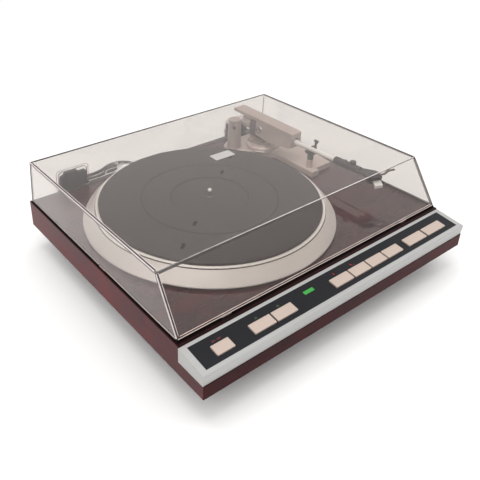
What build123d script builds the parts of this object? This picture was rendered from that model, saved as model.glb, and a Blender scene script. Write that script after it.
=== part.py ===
"""Fully automatic direct-drive record player with a smoked hinged lid.

Millimetres, +Z up. The origin is on the floor under the middle of the plinth,
-Y is the front with the control panel and +X is the tonearm side.
"""

from build123d import *
from math import atan2, cos, degrees, pi, radians, sin, sqrt, tan
import os

os.makedirs("parts", exist_ok=True)

# ---------------------------------------------------------------- dimensions
# Plinth
W, D = 434.0, 390.0  # width and depth of the wooden plinth
Z_FOOT = 24.0  # height of the feet below the tub
Z_BASE = 36.0  # underside of the wooden frame
Z_TOP = 73.7  # top of the deck
Z_LEDGE = 58.0  # rabbet that carries the deck board
WALL = 18.0  # thickness of the frame's sides
RIM = 4.6  # wood left outside the deck board

# Control panel, a sloping bar across the front
PAN_REAR = -153.9
PAN_FRONT = -195.0
PAN_Z_REAR = 72.1
PAN_Z_FRONT = 66.4
PAN_Z_LOW = 53.4
BTN_TRAVEL = 1.6
BTN_PROUD = 1.7

# Platter
PX, PY = -37.5, 22.0  # spindle axis
MAT_R, MAT_TOP, MAT_LOW = 145.8, 98.0, 94.0
PLAT_R, PLAT_Z = 165.0, 76.7
RIM_TOP = 94.9
SPINDLE_R, SPINDLE_TOP = 3.6, 109.4
SHAFT_R = 5.0
FIT = 0.05  # radial running clearance

# Lid
LID_Z0, LID_Z1, LID_T = 76.8, 135.6, 3.0
LID_X0, LID_X1 = 215.0, 212.5  # half widths at the bottom and at the top
LID_YF0, LID_YF1 = -149.4, -110.5
LID_YR0, LID_YR1 = 191.2, 188.0
HINGE_Y, HINGE_Z = 190.0, 84.0
HINGE_X = 152.0  # middle of each hinge

# Tonearm: its own frame, -Y forwards along the tube, turned a little outwards
AX, AY, AZ = 147.0, 116.5, 112.0
ARM_YAW = 2.5
TUBE_R = 3.0
OFFSET = 23.0  # headshell offset angle
PLATE_TOP = 82.7  # top of the tonearm's base plate
ARM_REST_S = 97.0  # pivot to arm rest

# Mains cord
CORD_R = 2.4


def write(obj, label):
    obj.part.label = label
    export_step(obj.part, f"parts/{label}.step")


# ------------------------------------------------------------------- planes
arm = Plane(
    origin=(AX, AY, AZ),
    x_dir=(cos(radians(ARM_YAW)), sin(radians(ARM_YAW)), 0),
    z_dir=(0, 0, 1),
)
ax_, ay_, az_ = arm.x_dir, arm.y_dir, arm.z_dir


def arm_pt(x, y, z):
    return arm.origin + ax_ * x + ay_ * y + az_ * z


def arm_flat(z, x=0.0, y=0.0):
    """Horizontal plane of the tonearm at height z over its pitch axis."""
    return Plane(origin=arm_pt(x, y, z), x_dir=ax_, z_dir=az_)


def arm_side(x):
    """Upright plane along the tonearm: local x is arm Y, local y is Z."""
    return Plane(origin=arm_pt(x, 0, 0), x_dir=ay_, z_dir=ax_)


def arm_cross(y, x=0.0, z=0.0):
    """Plane across the tonearm, looking forwards: local x is arm X, y is Z."""
    return Plane(origin=arm_pt(x, y, z), x_dir=ax_, z_dir=ay_ * -1)


# The headshell's own frame: x to its right, y backwards, z up
c_, s_ = cos(radians(OFFSET)), sin(radians(OFFSET))
hx_ = ax_ * c_ - ay_ * s_
hy_ = ax_ * s_ + ay_ * c_
H_ORIGIN = (0.0, -211.0)


def head_pt(u, v, z):
    """u to the right, v forwards of the headshell's front edge, z over the pitch axis."""
    return arm_pt(H_ORIGIN[0], H_ORIGIN[1], z) + hx_ * u - hy_ * v


def head_flat(z, u=0.0, v=0.0):
    return Plane(origin=head_pt(u, v, z), x_dir=hx_, z_dir=az_)


def head_side(u):
    """Upright plane along the headshell: local x is backwards, y is Z."""
    return Plane(origin=head_pt(u, 0, 0), x_dir=hy_, z_dir=hx_)


# The sloping face of the control panel: x along the panel, y up the slope
pan_a = atan2(PAN_Z_REAR - PAN_Z_FRONT, PAN_REAR - PAN_FRONT)
PAN_YM = (PAN_REAR + PAN_FRONT) / 2
PAN_ZM = (PAN_Z_REAR + PAN_Z_FRONT) / 2
pan_n = Vector(0, -sin(pan_a), cos(pan_a))


def pan(h=0.0, x=0.0, v=0.0):
    o = Vector(x, PAN_YM, PAN_ZM) + pan_n * h + Vector(0, cos(pan_a), sin(pan_a)) * v
    return Plane(origin=o, x_dir=(1, 0, 0), z_dir=pan_n)


def slope(y):
    """Distance up the panel's face of a point at this depth."""
    return (y - PAN_YM) / cos(pan_a)


YZ = Plane(origin=(0, 0, 0), x_dir=(0, 1, 0), z_dir=(1, 0, 0))

# ============================================================== the plinth
with BuildPart() as plinth_frame:
    with BuildSketch(Plane.XY.offset(Z_BASE)):
        RectangleRounded(W, D, 1.2)
    extrude(amount=Z_TOP - Z_BASE)
    # step at the front that carries the control panel
    with BuildSketch(Plane.XY.offset(PAN_Z_LOW)):
        with Locations((0, (PAN_REAR + PAN_FRONT) / 2 - 5)):
            Rectangle(W + 20, PAN_REAR - PAN_FRONT + 10)
    extrude(amount=40, mode=Mode.SUBTRACT)
    # main cavity below the deck
    with BuildSketch(Plane.XY.offset(Z_BASE)):
        with Locations((0, (177 - 146) / 2)):
            Rectangle(2 * (W / 2 - WALL), 177 + 146)
    extrude(amount=40, mode=Mode.SUBTRACT)
    # lower cavity below the panel step
    with BuildSketch(Plane.XY.offset(Z_BASE)):
        with Locations((0, (-177 - 145) / 2)):
            Rectangle(2 * (W / 2 - WALL), 32)
    extrude(amount=47.4 - Z_BASE, mode=Mode.SUBTRACT)
    # rabbet for the deck board
    with BuildSketch(Plane.XY.offset(Z_LEDGE)):
        with Locations((0, (190.4 - 147.9) / 2)):
            Rectangle(2 * (W / 2 - RIM), 190.4 + 147.9)
    extrude(amount=30, mode=Mode.SUBTRACT)
    # opening in the rear wall for the connector plate
    with BuildSketch(Plane.XZ.offset(-196)):
        with Locations((-80, 48)):
            RectangleRounded(104, 18, 2)
    extrude(amount=22, mode=Mode.SUBTRACT)
    # wiring slot under the panel
    with BuildSketch(Plane.XY.offset(47)):
        with Locations((150, -165)):
            RectangleRounded(40, 8, 2)
    extrude(amount=8, mode=Mode.SUBTRACT)
    # eased edges
    chamfer(
        plinth_frame.edges()
        .filter_by(lambda e: abs(e.center().Z - Z_TOP) < 0.01)
        .filter_by(
            lambda e: abs(abs(e.center().X) - W / 2) < 0.01
            or abs(e.center().Y - D / 2) < 0.01
        ),
        length=0.6,
    )
write(plinth_frame, "plinth_frame")

with BuildPart() as deck_board:
    with BuildSketch(Plane.XY.offset(Z_LEDGE)):
        with Locations((0, (190.2 - 147.7) / 2)):
            Rectangle(2 * (W / 2 - RIM - 0.2), 190.2 + 147.7)
        with Locations((PX, PY)):
            Circle(55, mode=Mode.SUBTRACT)
        with Locations((AX, AY)):
            Circle(16, mode=Mode.SUBTRACT)
    extrude(amount=Z_TOP - Z_LEDGE)
    # seat of the motor's flange
    with BuildSketch(Plane.XY.offset(68.0)):
        with Locations((PX, PY)):
            Circle(68)
    extrude(amount=10, mode=Mode.SUBTRACT)
write(deck_board, "deck_board")

with BuildPart() as bottom_pan:
    with BuildSketch(Plane.XY.offset(Z_BASE - 2)):
        RectangleRounded(416, 372, 6)
    extrude(amount=2)
    with BuildSketch(Plane.XY.offset(Z_FOOT)):
        RectangleRounded(384, 340, 10)
    extrude(amount=Z_BASE - Z_FOOT)
    with BuildSketch(Plane.XY.offset(Z_FOOT + 2.5)):
        RectangleRounded(379, 335, 8)
    extrude(amount=20, mode=Mode.SUBTRACT)
    # cooling slots under the transformer
    with BuildSketch(Plane.XY.offset(Z_FOOT - 1)):
        with Locations((95, -30)):
            with GridLocations(9, 0, 9, 1):
                SlotOverall(34, 3, rotation=90)
    extrude(amount=5, mode=Mode.SUBTRACT)
write(bottom_pan, "bottom_pan")

FEET = [(-145, -120), (145, -120), (-145, 120), (145, 120)]
with BuildPart() as feet:
    with BuildSketch(Plane.XZ):
        with BuildLine():
            Polyline(
                (0, 1.2),
                (8, 1.2),
                (8, 0),
                (18.4, 0),
                (19, 0.6),
                (19, 3.0),
                (20.5, 3.0),
                (22, 4.5),
                (22, 11),
                (18.5, 13.5),
                (18.5, 20),
                (20, 21.5),
                (20, Z_FOOT),
                (0, Z_FOOT),
                close=True,
            )
        make_face()
    revolve(axis=Axis.Z)
one_foot = feet.part
with BuildPart() as feet:
    with Locations(*[(x, y, 0) for x, y in FEET]):
        add(one_foot)
write(feet, "feet")

# ======================================================= the control panel
BUTTONS = {
    "button_power": (-190.6, -167.0),
    "button_speed_33": (-141.0, -110.3),
    "button_speed_45": (-109.0, -78.7),
    "button_repeat": (-17.8, 12.8),
    "button_size": (14.2, 43.5),
    "button_cue_up": (44.9, 74.0),
    "button_cue_down": (75.4, 104.9),
    "button_start": (116.6, 153.6),
    "button_stop": (156.0, 193.7),
}
B_REAR, B_FRONT = slope(-170.0), slope(-183.5)
B_MID, B_DEEP = (B_REAR + B_FRONT) / 2, B_REAR - B_FRONT
INSET = (-209.5, 210.0, slope(-189.5), slope(-158.5))
FASCIA_T = 1.6
SKIN_T = 2.4  # metal left below the fascia
DISPLAY = (-56.2, -40.3, slope(-171.2), slope(-166.4))
LEDS = [(-2.7, slope(-164.8)), (27.3, slope(-164.8))]

with BuildPart() as panel_bar:
    with BuildSketch(YZ.offset(-W / 2)):
        with BuildLine():
            Polyline(
                (PAN_FRONT + 0.9, PAN_Z_LOW),
                (PAN_FRONT + 0.9, PAN_Z_LOW + 5.6),
                (PAN_FRONT, PAN_Z_LOW + 6.5),
                (PAN_FRONT, PAN_Z_FRONT - 0.9),
                (PAN_FRONT + 0.9, PAN_Z_FRONT + 0.12),
                (PAN_REAR - 0.6, PAN_Z_REAR - 0.08),
                (PAN_REAR, PAN_Z_REAR - 0.7),
                (PAN_REAR, PAN_Z_LOW),
                close=True,
            )
        make_face()
    extrude(amount=W)
    # recess for the black fascia
    with BuildSketch(pan(-FASCIA_T)):
        with BuildLine():
            Polyline(
                (INSET[0], INSET[2]),
                (INSET[1], INSET[2]),
                (INSET[1], INSET[3]),
                (INSET[0], INSET[3]),
                close=True,
            )
        make_face()
    extrude(amount=10, mode=Mode.SUBTRACT)
    # hollow underside
    with BuildSketch(pan(-FASCIA_T - SKIN_T)):
        with Locations((0, slope(-174.0))):
            Rectangle(2 * 206, 27)
    extrude(amount=-30, mode=Mode.SUBTRACT)
    # button windows, display window and lamp holes
    with BuildSketch(pan(-FASCIA_T)):
        for x0, x1 in BUTTONS.values():
            with Locations(((x0 + x1) / 2, B_MID)):
                Rectangle(x1 - x0 - 0.3, B_DEEP)
        with Locations(((DISPLAY[0] + DISPLAY[1]) / 2, (DISPLAY[2] + DISPLAY[3]) / 2)):
            Rectangle(DISPLAY[1] - DISPLAY[0], DISPLAY[3] - DISPLAY[2])
        with Locations(*LEDS):
            Circle(1.5)
    extrude(amount=-6, mode=Mode.SUBTRACT)
write(panel_bar, "panel_bar")

with BuildPart() as panel_fascia:
    with BuildSketch(pan(-FASCIA_T)):
        with BuildLine():
            Polyline(
                (INSET[0], INSET[2]),
                (INSET[1], INSET[2]),
                (INSET[1], INSET[3]),
                (INSET[0], INSET[3]),
                close=True,
            )
        make_face()
        for x0, x1 in BUTTONS.values():
            with Locations(((x0 + x1) / 2, B_MID)):
                Rectangle(x1 - x0 - 0.3, B_DEEP, mode=Mode.SUBTRACT)
        with Locations(((DISPLAY[0] + DISPLAY[1]) / 2, (DISPLAY[2] + DISPLAY[3]) / 2)):
            Rectangle(
                DISPLAY[1] - DISPLAY[0], DISPLAY[3] - DISPLAY[2], mode=Mode.SUBTRACT
            )
        with Locations(*LEDS):
            Circle(1.5, mode=Mode.SUBTRACT)
    extrude(amount=FASCIA_T)
write(panel_fascia, "panel_fascia")

with BuildPart() as display_window:
    with BuildSketch(pan(-FASCIA_T - SKIN_T)):
        with Locations(((DISPLAY[0] + DISPLAY[1]) / 2, (DISPLAY[2] + DISPLAY[3]) / 2)):
            Rectangle(DISPLAY[1] - DISPLAY[0], DISPLAY[3] - DISPLAY[2])
    extrude(amount=FASCIA_T + SKIN_T - 0.2)
write(display_window, "display_window")

BOARD_H = -9.2  # top of the switch board below the panel's face
with BuildPart() as indicator_leds:
    with BuildSketch(pan(BOARD_H)):
        with Locations(*LEDS):
            Circle(1.5)
    extrude(amount=-BOARD_H - 0.4)
    fillet(indicator_leds.edges().group_by(Axis.Z)[-1], 0.9)
write(indicator_leds, "indicator_leds")

# Each key: a cap through the fascia, a lip that holds it under the panel's
# skin, and a stem that reaches its switch.
for label, (x0, x1) in BUTTONS.items():
    xm, wide = (x0 + x1) / 2, x1 - x0
    with BuildPart() as key:
        with BuildSketch(pan(-5.6, xm, B_MID)):
            Rectangle(wide - 1.0, B_DEEP - 0.7)
        extrude(amount=5.6 + BTN_PROUD)
        fillet(key.edges().filter_by(lambda e: abs(e.tangent_at(0.5).dot(pan_n)) > 0.99), 0.5)
        top = key.faces().sort_by(lambda f: f.center().dot(pan_n))[-1]
        fillet(top.edges(), 0.45)
        with BuildSketch(pan(-5.6, xm, B_MID)):
            Rectangle(wide - 1.0, B_DEEP + 2.4)
        extrude(amount=1.3)
        with BuildSketch(pan(-5.6, xm, B_MID)):
            Rectangle(4.0, 4.0)
        extrude(amount=-1.0)
    write(key, label)

with BuildPart() as switch_board:
    with BuildSketch(pan(BOARD_H)):
        with Locations((0, slope(-174.0))):
            Rectangle(2 * 206, 23)
    extrude(amount=-1.6)
    # one tact switch below each key, its top just clear of the pressed stem
    with BuildSketch(pan(BOARD_H)):
        for x0, x1 in BUTTONS.values():
            with Locations(((x0 + x1) / 2, B_MID)):
                Rectangle(6, 6)
    extrude(amount=0.8)
    # lamp behind the display window
    with BuildSketch(pan(BOARD_H)):
        with Locations(((DISPLAY[0] + DISPLAY[1]) / 2, (DISPLAY[2] + DISPLAY[3]) / 2)):
            Rectangle(DISPLAY[1] - DISPLAY[0], DISPLAY[3] - DISPLAY[2])
    extrude(amount=-BOARD_H - FASCIA_T - SKIN_T)
write(switch_board, "switch_board")

# ============================================================ the platter
XZP = Plane(origin=(PX, PY, 0), x_dir=(1, 0, 0), z_dir=(0, -1, 0))
P_AXIS = Axis((PX, PY, 0), (0, 0, 1))

with BuildPart() as platter:
    with BuildSketch(XZP):
        with BuildLine():
            Polyline(
                (SHAFT_R, 78.0),
                (22, 78.0),
                (24, 79.0),
                (52, 79.0),
                (56, 87.8),
                (142.0, 88.6),
                (161.4, PLAT_Z + 0.9),
                (162.2, PLAT_Z),
                (PLAT_R - 0.5, PLAT_Z),
                (PLAT_R, PLAT_Z + 0.5),
                (PLAT_R, PLAT_Z + 1.6),
                (PLAT_R - 0.6, PLAT_Z + 2.4),
                (151.8, RIM_TOP - 1.9),
                (150.6, RIM_TOP - 2.4),
                (150.1, RIM_TOP - 2.4),
                (149.8, RIM_TOP - 0.6),
                (149.1, RIM_TOP),
                (147.1, RIM_TOP),
                (146.5, RIM_TOP - 0.5),
                (146.3, MAT_LOW),
                (SHAFT_R, MAT_LOW),
                close=True,
            )
        make_face()
    revolve(axis=P_AXIS)
    # two finger holes under the mat, for lifting the platter off
    with BuildSketch(Plane.XY.offset(80)):
        with Locations((PX + 95, PY), (PX - 95, PY)):
            Circle(14)
    extrude(amount=20, mode=Mode.SUBTRACT)
write(platter, "platter")

with BuildPart() as platter_mat:
    with BuildSketch(XZP):
        with BuildLine():
            Polyline(
                (SPINDLE_R + 0.4, MAT_LOW),
                (MAT_R - 0.4, MAT_LOW),
                (MAT_R, MAT_LOW + 0.6),
                (MAT_R, MAT_TOP - 0.8),
                (MAT_R - 0.8, MAT_TOP),
                (90.6, MAT_TOP),
                (90.3, MAT_TOP - 0.6),
                (89.7, MAT_TOP - 0.6),
                (89.4, MAT_TOP),
                (51.6, MAT_TOP),
                (50.8, MAT_TOP - 0.8),
                (12.0, MAT_TOP - 0.8),
                (11.4, MAT_TOP - 1.2),
                (SPINDLE_R + 0.4, MAT_TOP - 1.2),
                close=True,
            )
        make_face()
    revolve(axis=P_AXIS)
    # four slots on one diameter
    with BuildSketch(Plane(origin=(PX, PY, MAT_TOP - 1.6), x_dir=(0.803, 0.596, 0), z_dir=(0, 0, 1))):
        with Locations((-119.9, 0), (-70.0, 0), (68.4, 0), (118.0, 0)):
            Rectangle(8.4, 3.8)
    extrude(amount=3, mode=Mode.SUBTRACT)
write(platter_mat, "platter_mat")

# small blank card that lies on the mat
with BuildPart() as mat_label:
    with BuildSketch(
        Plane(origin=(52.3, 103.8, MAT_TOP), x_dir=(0.9995, -0.03, 0), z_dir=(0, 0, 1))
    ):
        RectangleRounded(35, 17.5, 1.0)
    extrude(amount=0.35)
write(mat_label, "mat_label")

with BuildPart() as spindle:
    with BuildSketch(XZP):
        with BuildLine():
            Polyline(
                (0, 44.0),
                (3.4, 44.0),
                (SHAFT_R, 45.6),
                (SHAFT_R, MAT_LOW - 1.4),
                (SPINDLE_R + 0.2, MAT_LOW),
                (SPINDLE_R + 0.2, MAT_TOP - 0.3),
                (SPINDLE_R, MAT_TOP + 0.1),
                (SPINDLE_R, SPINDLE_TOP - 3.4),
                (3.3, SPINDLE_TOP - 2.2),
                (2.5, SPINDLE_TOP - 0.9),
                (1.2, SPINDLE_TOP - 0.15),
                (0, SPINDLE_TOP),
                close=True,
            )
        make_face()
    revolve(axis=P_AXIS)
write(spindle, "spindle")

with BuildPart() as rotor_magnet:
    with BuildSketch(Plane.XY.offset(75.2)):
        with Locations((PX, PY)):
            Circle(47)
            Circle(26, mode=Mode.SUBTRACT)
    extrude(amount=3.8)
write(rotor_magnet, "rotor_magnet")

with BuildPart() as motor_base:
    with BuildSketch(XZP):
        with BuildLine():
            Polyline(
                (0, 40.5),
                (14, 40.5),
                (14, 66.0),
                (54.5, 66.0),
                (54.5, 68.0),
                (67.5, 68.0),
                (67.5, 70.2),
                (14, 70.2),
                (12, 72.4),
                (SHAFT_R + FIT, 72.4),
                (SHAFT_R + FIT, 45.0),
                (SHAFT_R + FIT, 43.9),
                (0, 43.9),
                close=True,
            )
        make_face()
    revolve(axis=P_AXIS)
    with BuildSketch(Plane.XY.offset(60)):
        with Locations((PX, PY)):
            with PolarLocations(61, 3, start_angle=30):
                Circle(2.1)
    extrude(amount=20, mode=Mode.SUBTRACT)
write(motor_base, "motor_base")

with BuildPart() as motor_stator:
    with BuildSketch(Plane.XY.offset(70.2)):
        with Locations((PX, PY)):
            Circle(50)
            Circle(17, mode=Mode.SUBTRACT)
    extrude(amount=1.4)
    with BuildSketch(Plane.XY.offset(71.6)):
        with Locations((PX, PY)):
            with PolarLocations(36, 6):
                SlotOverall(26, 16, rotation=90)
    extrude(amount=2.4)
write(motor_stator, "motor_stator")

# ============================================================ electronics
with BuildPart() as transformer:
    with BuildSketch(Plane.XY.offset(Z_FOOT + 2.5)):
        with Locations((95, -95)):
            Rectangle(58, 48)
    extrude(amount=27)
    with BuildSketch(Plane.XY.offset(Z_FOOT + 2.5)):
        with Locations((95, -95)):
            Rectangle(36, 62)
    extrude(amount=24)
    with BuildSketch(Plane.XY.offset(Z_FOOT + 2.5)):
        with Locations((95, -95)):
            Rectangle(84, 20)
    extrude(amount=1.6)
write(transformer, "transformer")

with BuildPart() as main_board:
    with BuildSketch(Plane.XY.offset(Z_FOOT + 2.5)):
        with Locations((-120, -90)):
            with GridLocations(110, 84, 2, 2):
                Circle(3)
    extrude(amount=6)
    with BuildSketch(Plane.XY.offset(Z_FOOT + 8.5)):
        with Locations((-120, -90)):
            Rectangle(124, 98)
    extrude(amount=1.6)
    with BuildSketch(Plane.XY.offset(Z_FOOT + 10.1)):
        with Locations((-150, -110)):
            Rectangle(34, 12)
        with Locations((-95, -80)):
            Rectangle(26, 9)
        with Locations((-148, -70), (-128, -70), (-108, -112)):
            Circle(6)
    extrude(amount=11)
write(main_board, "main_board")

# ============================================================ the tonearm
with BuildPart() as arm_base_plate:
    with BuildSketch(Plane.XY.offset(Z_TOP)):
        with BuildLine():
            Polyline(
                (141.8, 5.1),
                (157.0, 5.1),
                (157.0, 12.2),
                (189.5, 12.2),
                (193.0, 40.0),
                (194.0, 150.0),
                (188.0, 163.0),
                (110.0, 163.0),
                (97.0, 154.0),
                (95.4, 144.0),
                (101.5, 130.5),
                (121.0, 109.0),
                (135.0, 97.0),
                (144.0, 84.0),
                close=True,
            )
        make_face()
    extrude(amount=PLATE_TOP - Z_TOP)
    fillet(
        arm_base_plate.edges()
        .filter_by(Axis.Z)
        .filter_by(lambda e: e.center().Y > 80 and e.center().X < 150),
        6.0,
    )
    fillet(
        arm_base_plate.edges()
        .filter_by(Axis.Z)
        .filter_by(lambda e: e.center().Y > 140 and e.center().X > 150),
        5.0,
    )
    chamfer(arm_base_plate.faces().sort_by(Axis.Z)[-1].edges(), 0.7)
    # bright collar round the turret
    with BuildSketch(Plane.XY.offset(PLATE_TOP)):
        with Locations((AX, AY)):
            Circle(28.0)
            Circle(26.4, mode=Mode.SUBTRACT)
    extrude(amount=1.4)
    # bearing of the turret
    with BuildSketch(Plane.XY.offset(60)):
        with Locations((AX, AY)):
            Circle(15.8)
    extrude(amount=Z_TOP - 60)
    with BuildSketch(Plane.XY.offset(50)):
        with Locations((AX, AY)):
            Circle(9 + FIT)
    extrude(amount=40, mode=Mode.SUBTRACT)
write(arm_base_plate, "arm_base_plate")

PILLAR = (106.9, 140.7)
XZQ = Plane(origin=(PILLAR[0], PILLAR[1], 0), x_dir=(1, 0, 0), z_dir=(0, -1, 0))
with BuildPart() as arm_pillar:
    with BuildSketch(XZQ):
        with BuildLine():
            Polyline(
                (0, PLATE_TOP),
                (11.6, PLATE_TOP),
                (11.6, PLATE_TOP + 1.2),
                (10.9, PLATE_TOP + 2.4),
                (9.9, 129.4),
                (9.2, 130.2),
                (0, 130.2),
                close=True,
            )
        make_face()
    revolve(axis=Axis((PILLAR[0], PILLAR[1], 0), (0, 0, 1)))
    # small adjuster hole that faces the platter side
    with BuildSketch(
        Plane(origin=(PILLAR[0], PILLAR[1], 118.8), x_dir=(0.684, -0.730, 0), z_dir=(-0.730, -0.684, 0))
    ):
        Circle(2.8)
    extrude(amount=20, mode=Mode.SUBTRACT)
write(arm_pillar, "arm_pillar")

TURRET_LOW, TURRET_TOP = PLATE_TOP + 0.3, 89.0
with BuildPart() as arm_turret:
    with BuildSketch(Plane.XY.offset(TURRET_LOW)):
        with Locations((AX, AY)):
            Circle(25.8)
    extrude(amount=TURRET_TOP - TURRET_LOW)
    chamfer(arm_turret.edges().group_by(Axis.Z)[-1], 1.6)
    with BuildSketch(Plane.XY.offset(56)):
        with Locations((AX, AY)):
            Circle(9)
    extrude(amount=TURRET_LOW - 56)
    # guide of the lifting pin
    with BuildSketch(arm_flat(-30, 0, -14)):
        Circle(1.5 + FIT)
    extrude(amount=10, mode=Mode.SUBTRACT)
write(arm_turret, "arm_turret")

# black yoke: a block on the turret, two cheeks and a small stop block
with BuildPart() as arm_yoke:
    with BuildSketch(arm_side(-8.4)):
        with BuildLine():
            Polyline(
                (-5.0, TURRET_TOP - AZ),
                (21.5, TURRET_TOP - AZ),
                (21.5, 9.5),
                (9.0, 9.5),
                (5.0, 5.5),
                (-5.0, 5.5),
                close=True,
            )
        make_face()
    extrude(amount=16.8)
    # channel for the arm's stub between the cheeks
    with BuildSketch(arm_side(-5.6)):
        with BuildLine():
            Polyline((-8, -12), (24, -12), (24, 14), (-8, 14), close=True)
        make_face()
    extrude(amount=11.2, mode=Mode.SUBTRACT)
    # bores of the pivot pins
    with BuildSketch(arm_side(-12)):
        Circle(2.0)
    extrude(amount=24, mode=Mode.SUBTRACT)
    # stop block and its lever on the turret, joined by a thin foot
    with BuildSketch(arm_flat(TURRET_TOP - AZ, -11.0, 11.5)):
        Rectangle(6.0, 6.0)
    extrude(amount=1.2)
    with BuildSketch(arm_flat(TURRET_TOP - AZ, -13.5, 13.5)):
        RectangleRounded(7.5, 9, 1)
    extrude(amount=4.6)
    with BuildSketch(arm_flat(TURRET_TOP - AZ + 1.0, -13.2, 2.0)):
        RectangleRounded(2.4, 15, 1)
    extrude(amount=2.2)
write(arm_yoke, "arm_yoke")

with BuildPart() as pivot_pins:
    with BuildSketch(arm_side(-10.9)):
        Circle(2.0)
    extrude(amount=5.1)
    with BuildSketch(arm_side(5.8)):
        Circle(2.0)
    extrude(amount=5.1)
write(pivot_pins, "pivot_pins")

# wedge-shaped cover over the pivot, with a long top plate to the rear
COVER_HW = 10.5


def cover_wedge():
    """Lower facet of the cover's left side: it leans out towards its bottom edge."""
    with BuildPart() as wedge:
        with BuildSketch(arm_side(-COVER_HW)):
            with BuildLine():
                Polyline(
                    (6.0, -10.2),
                    (-61.0, 10.6),
                    (-66.0, 10.6),
                    (-66.8, -7.4),
                    (-26.0, -13.6),
                    (-13.0, -12.4),
                    close=True,
                )
            make_face()
        extrude(amount=-3.0)
        a = arm_pt(-COVER_HW, 6.0, -10.2)
        b = arm_pt(-COVER_HW, -61.0, 10.6)
        c = arm_pt(-COVER_HW - 2.2, -66.0, -7.4)
        n = (b - a).cross(c - a).normalized()
        if n.dot(ax_) > 0:
            n = n * -1
        split(bisect_by=Plane(origin=a, z_dir=n), keep=Keep.BOTTOM)
    return wedge.part


left_wedge = cover_wedge()
right_wedge = mirror(left_wedge, about=arm_side(0))

with BuildPart() as arm_cover:
    with BuildSketch(arm_side(-COVER_HW)):
        with BuildLine():
            Polyline(
                (58.0, 15.2),
                (58.0, 19.4),
                (57.0, 20.0),
                (-30.0, 16.6),
                (-66.2, 15.1),
                (-67.0, 14.4),
                (-66.8, -7.4),
                (-26.0, -13.6),
                (-13.0, -12.4),
                (7.5, -10.0),
                (7.5, 12.4),
                (41.7, 14.1),
                close=True,
            )
        make_face()
    extrude(amount=2 * COVER_HW)
    add(left_wedge)
    add(right_wedge)
    # inside
    with BuildSketch(arm_side(-9.3)):
        with BuildLine():
            Polyline(
                (20.0, 12.2), (7.0, 12.2), (-64.6, 10.9), (-64.6, -25.0), (20.0, -25.0), close=True
            )
        make_face()
    extrude(amount=18.6, mode=Mode.SUBTRACT)
    # round opening in the front face, and the bores of the pivot pins
    with BuildSketch(arm_cross(-60, 0, 1.2)):
        Circle(6.2)
    extrude(amount=12, mode=Mode.SUBTRACT)
    with BuildSketch(arm_side(-14)):
        Circle(2.0 + FIT)
    extrude(amount=28, mode=Mode.SUBTRACT)
write(arm_cover, "arm_cover")

with BuildPart() as pivot_rings:
    with BuildSketch(arm_side(-11.6)):
        Circle(6.3)
        Circle(3.2, mode=Mode.SUBTRACT)
    extrude(amount=1.1)
    with BuildSketch(arm_side(10.5)):
        Circle(6.3)
        Circle(3.2, mode=Mode.SUBTRACT)
    extrude(amount=1.1)
    chamfer(
        pivot_rings.edges().filter_by(GeomType.CIRCLE).filter_by(
            lambda e: e.radius > 6 and abs((e.center() - arm.origin).dot(ax_)) > 11.5
        ),
        0.5,
    )
write(pivot_rings, "pivot_rings")

# core inside the cover that carries the tube, and the stub for the weight
STUB_Z = 1.5
with BuildPart() as arm_core:
    with BuildSketch(arm_flat(-4.5)):
        with BuildLine():
            Polyline((-9.3, -30), (9.3, -30), (9.3, -9.5), (-9.3, -9.5), close=True)
        make_face()
    extrude(amount=14.0)
    with BuildSketch(arm_cross(43.0, 0, STUB_Z)):
        Circle(3.4)
    extrude(amount=43.0 + 9.5)
    # thick root of the tube
    with BuildSketch(arm_cross(-30)):
        Circle(4.3)
    extrude(amount=74 - 30)
    chamfer(
        arm_core.edges().filter_by(GeomType.CIRCLE).filter_by(
            lambda e: e.radius > 4 and (e.center() - arm.origin).dot(ay_) < -70
        ),
        0.6,
    )
write(arm_core, "arm_core")

with BuildPart() as arm_tube:
    with BuildSketch(arm_cross(-74)):
        Circle(TUBE_R)
    extrude(amount=141 - 74)
write(arm_tube, "arm_tube")

with BuildPart() as counterweight:
    with BuildSketch(arm_cross(41.0, 0, STUB_Z)):
        Circle(10.4)
        Circle(3.4 + FIT, mode=Mode.SUBTRACT)
    extrude(amount=18.5)
    chamfer(
        counterweight.edges().filter_by(GeomType.CIRCLE).filter_by(lambda e: e.radius > 10), 0.8
    )
write(counterweight, "counterweight")

with BuildPart() as headshell_sleeve:
    with BuildSketch(arm_cross(-141.0)):
        Circle(5.4)
    extrude(amount=40.0)
    chamfer(headshell_sleeve.edges().filter_by(GeomType.CIRCLE), 0.7)
    # small locating peg on top
    with BuildSketch(arm_flat(3.0, 0, -159.0)):
        Circle(1.7)
    extrude(amount=3.6)
    # threaded seat of the thumbscrew
    with BuildSketch(arm_flat(-1.0, 0, -171.0)):
        Circle(2.0 + FIT)
    extrude(amount=10, mode=Mode.SUBTRACT)
write(headshell_sleeve, "headshell_sleeve")

with BuildPart() as headshell_knob:
    with BuildSketch(arm_flat(5.6, 0, -171.0)):
        Circle(4.4)
    extrude(amount=3.8)
    chamfer(headshell_knob.edges().group_by(Axis.Z)[-1], 0.7)
    with BuildSketch(arm_flat(-0.8, 0, -171.0)):
        Circle(2.0)
    extrude(amount=6.4)
write(headshell_knob, "headshell_knob")

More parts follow.
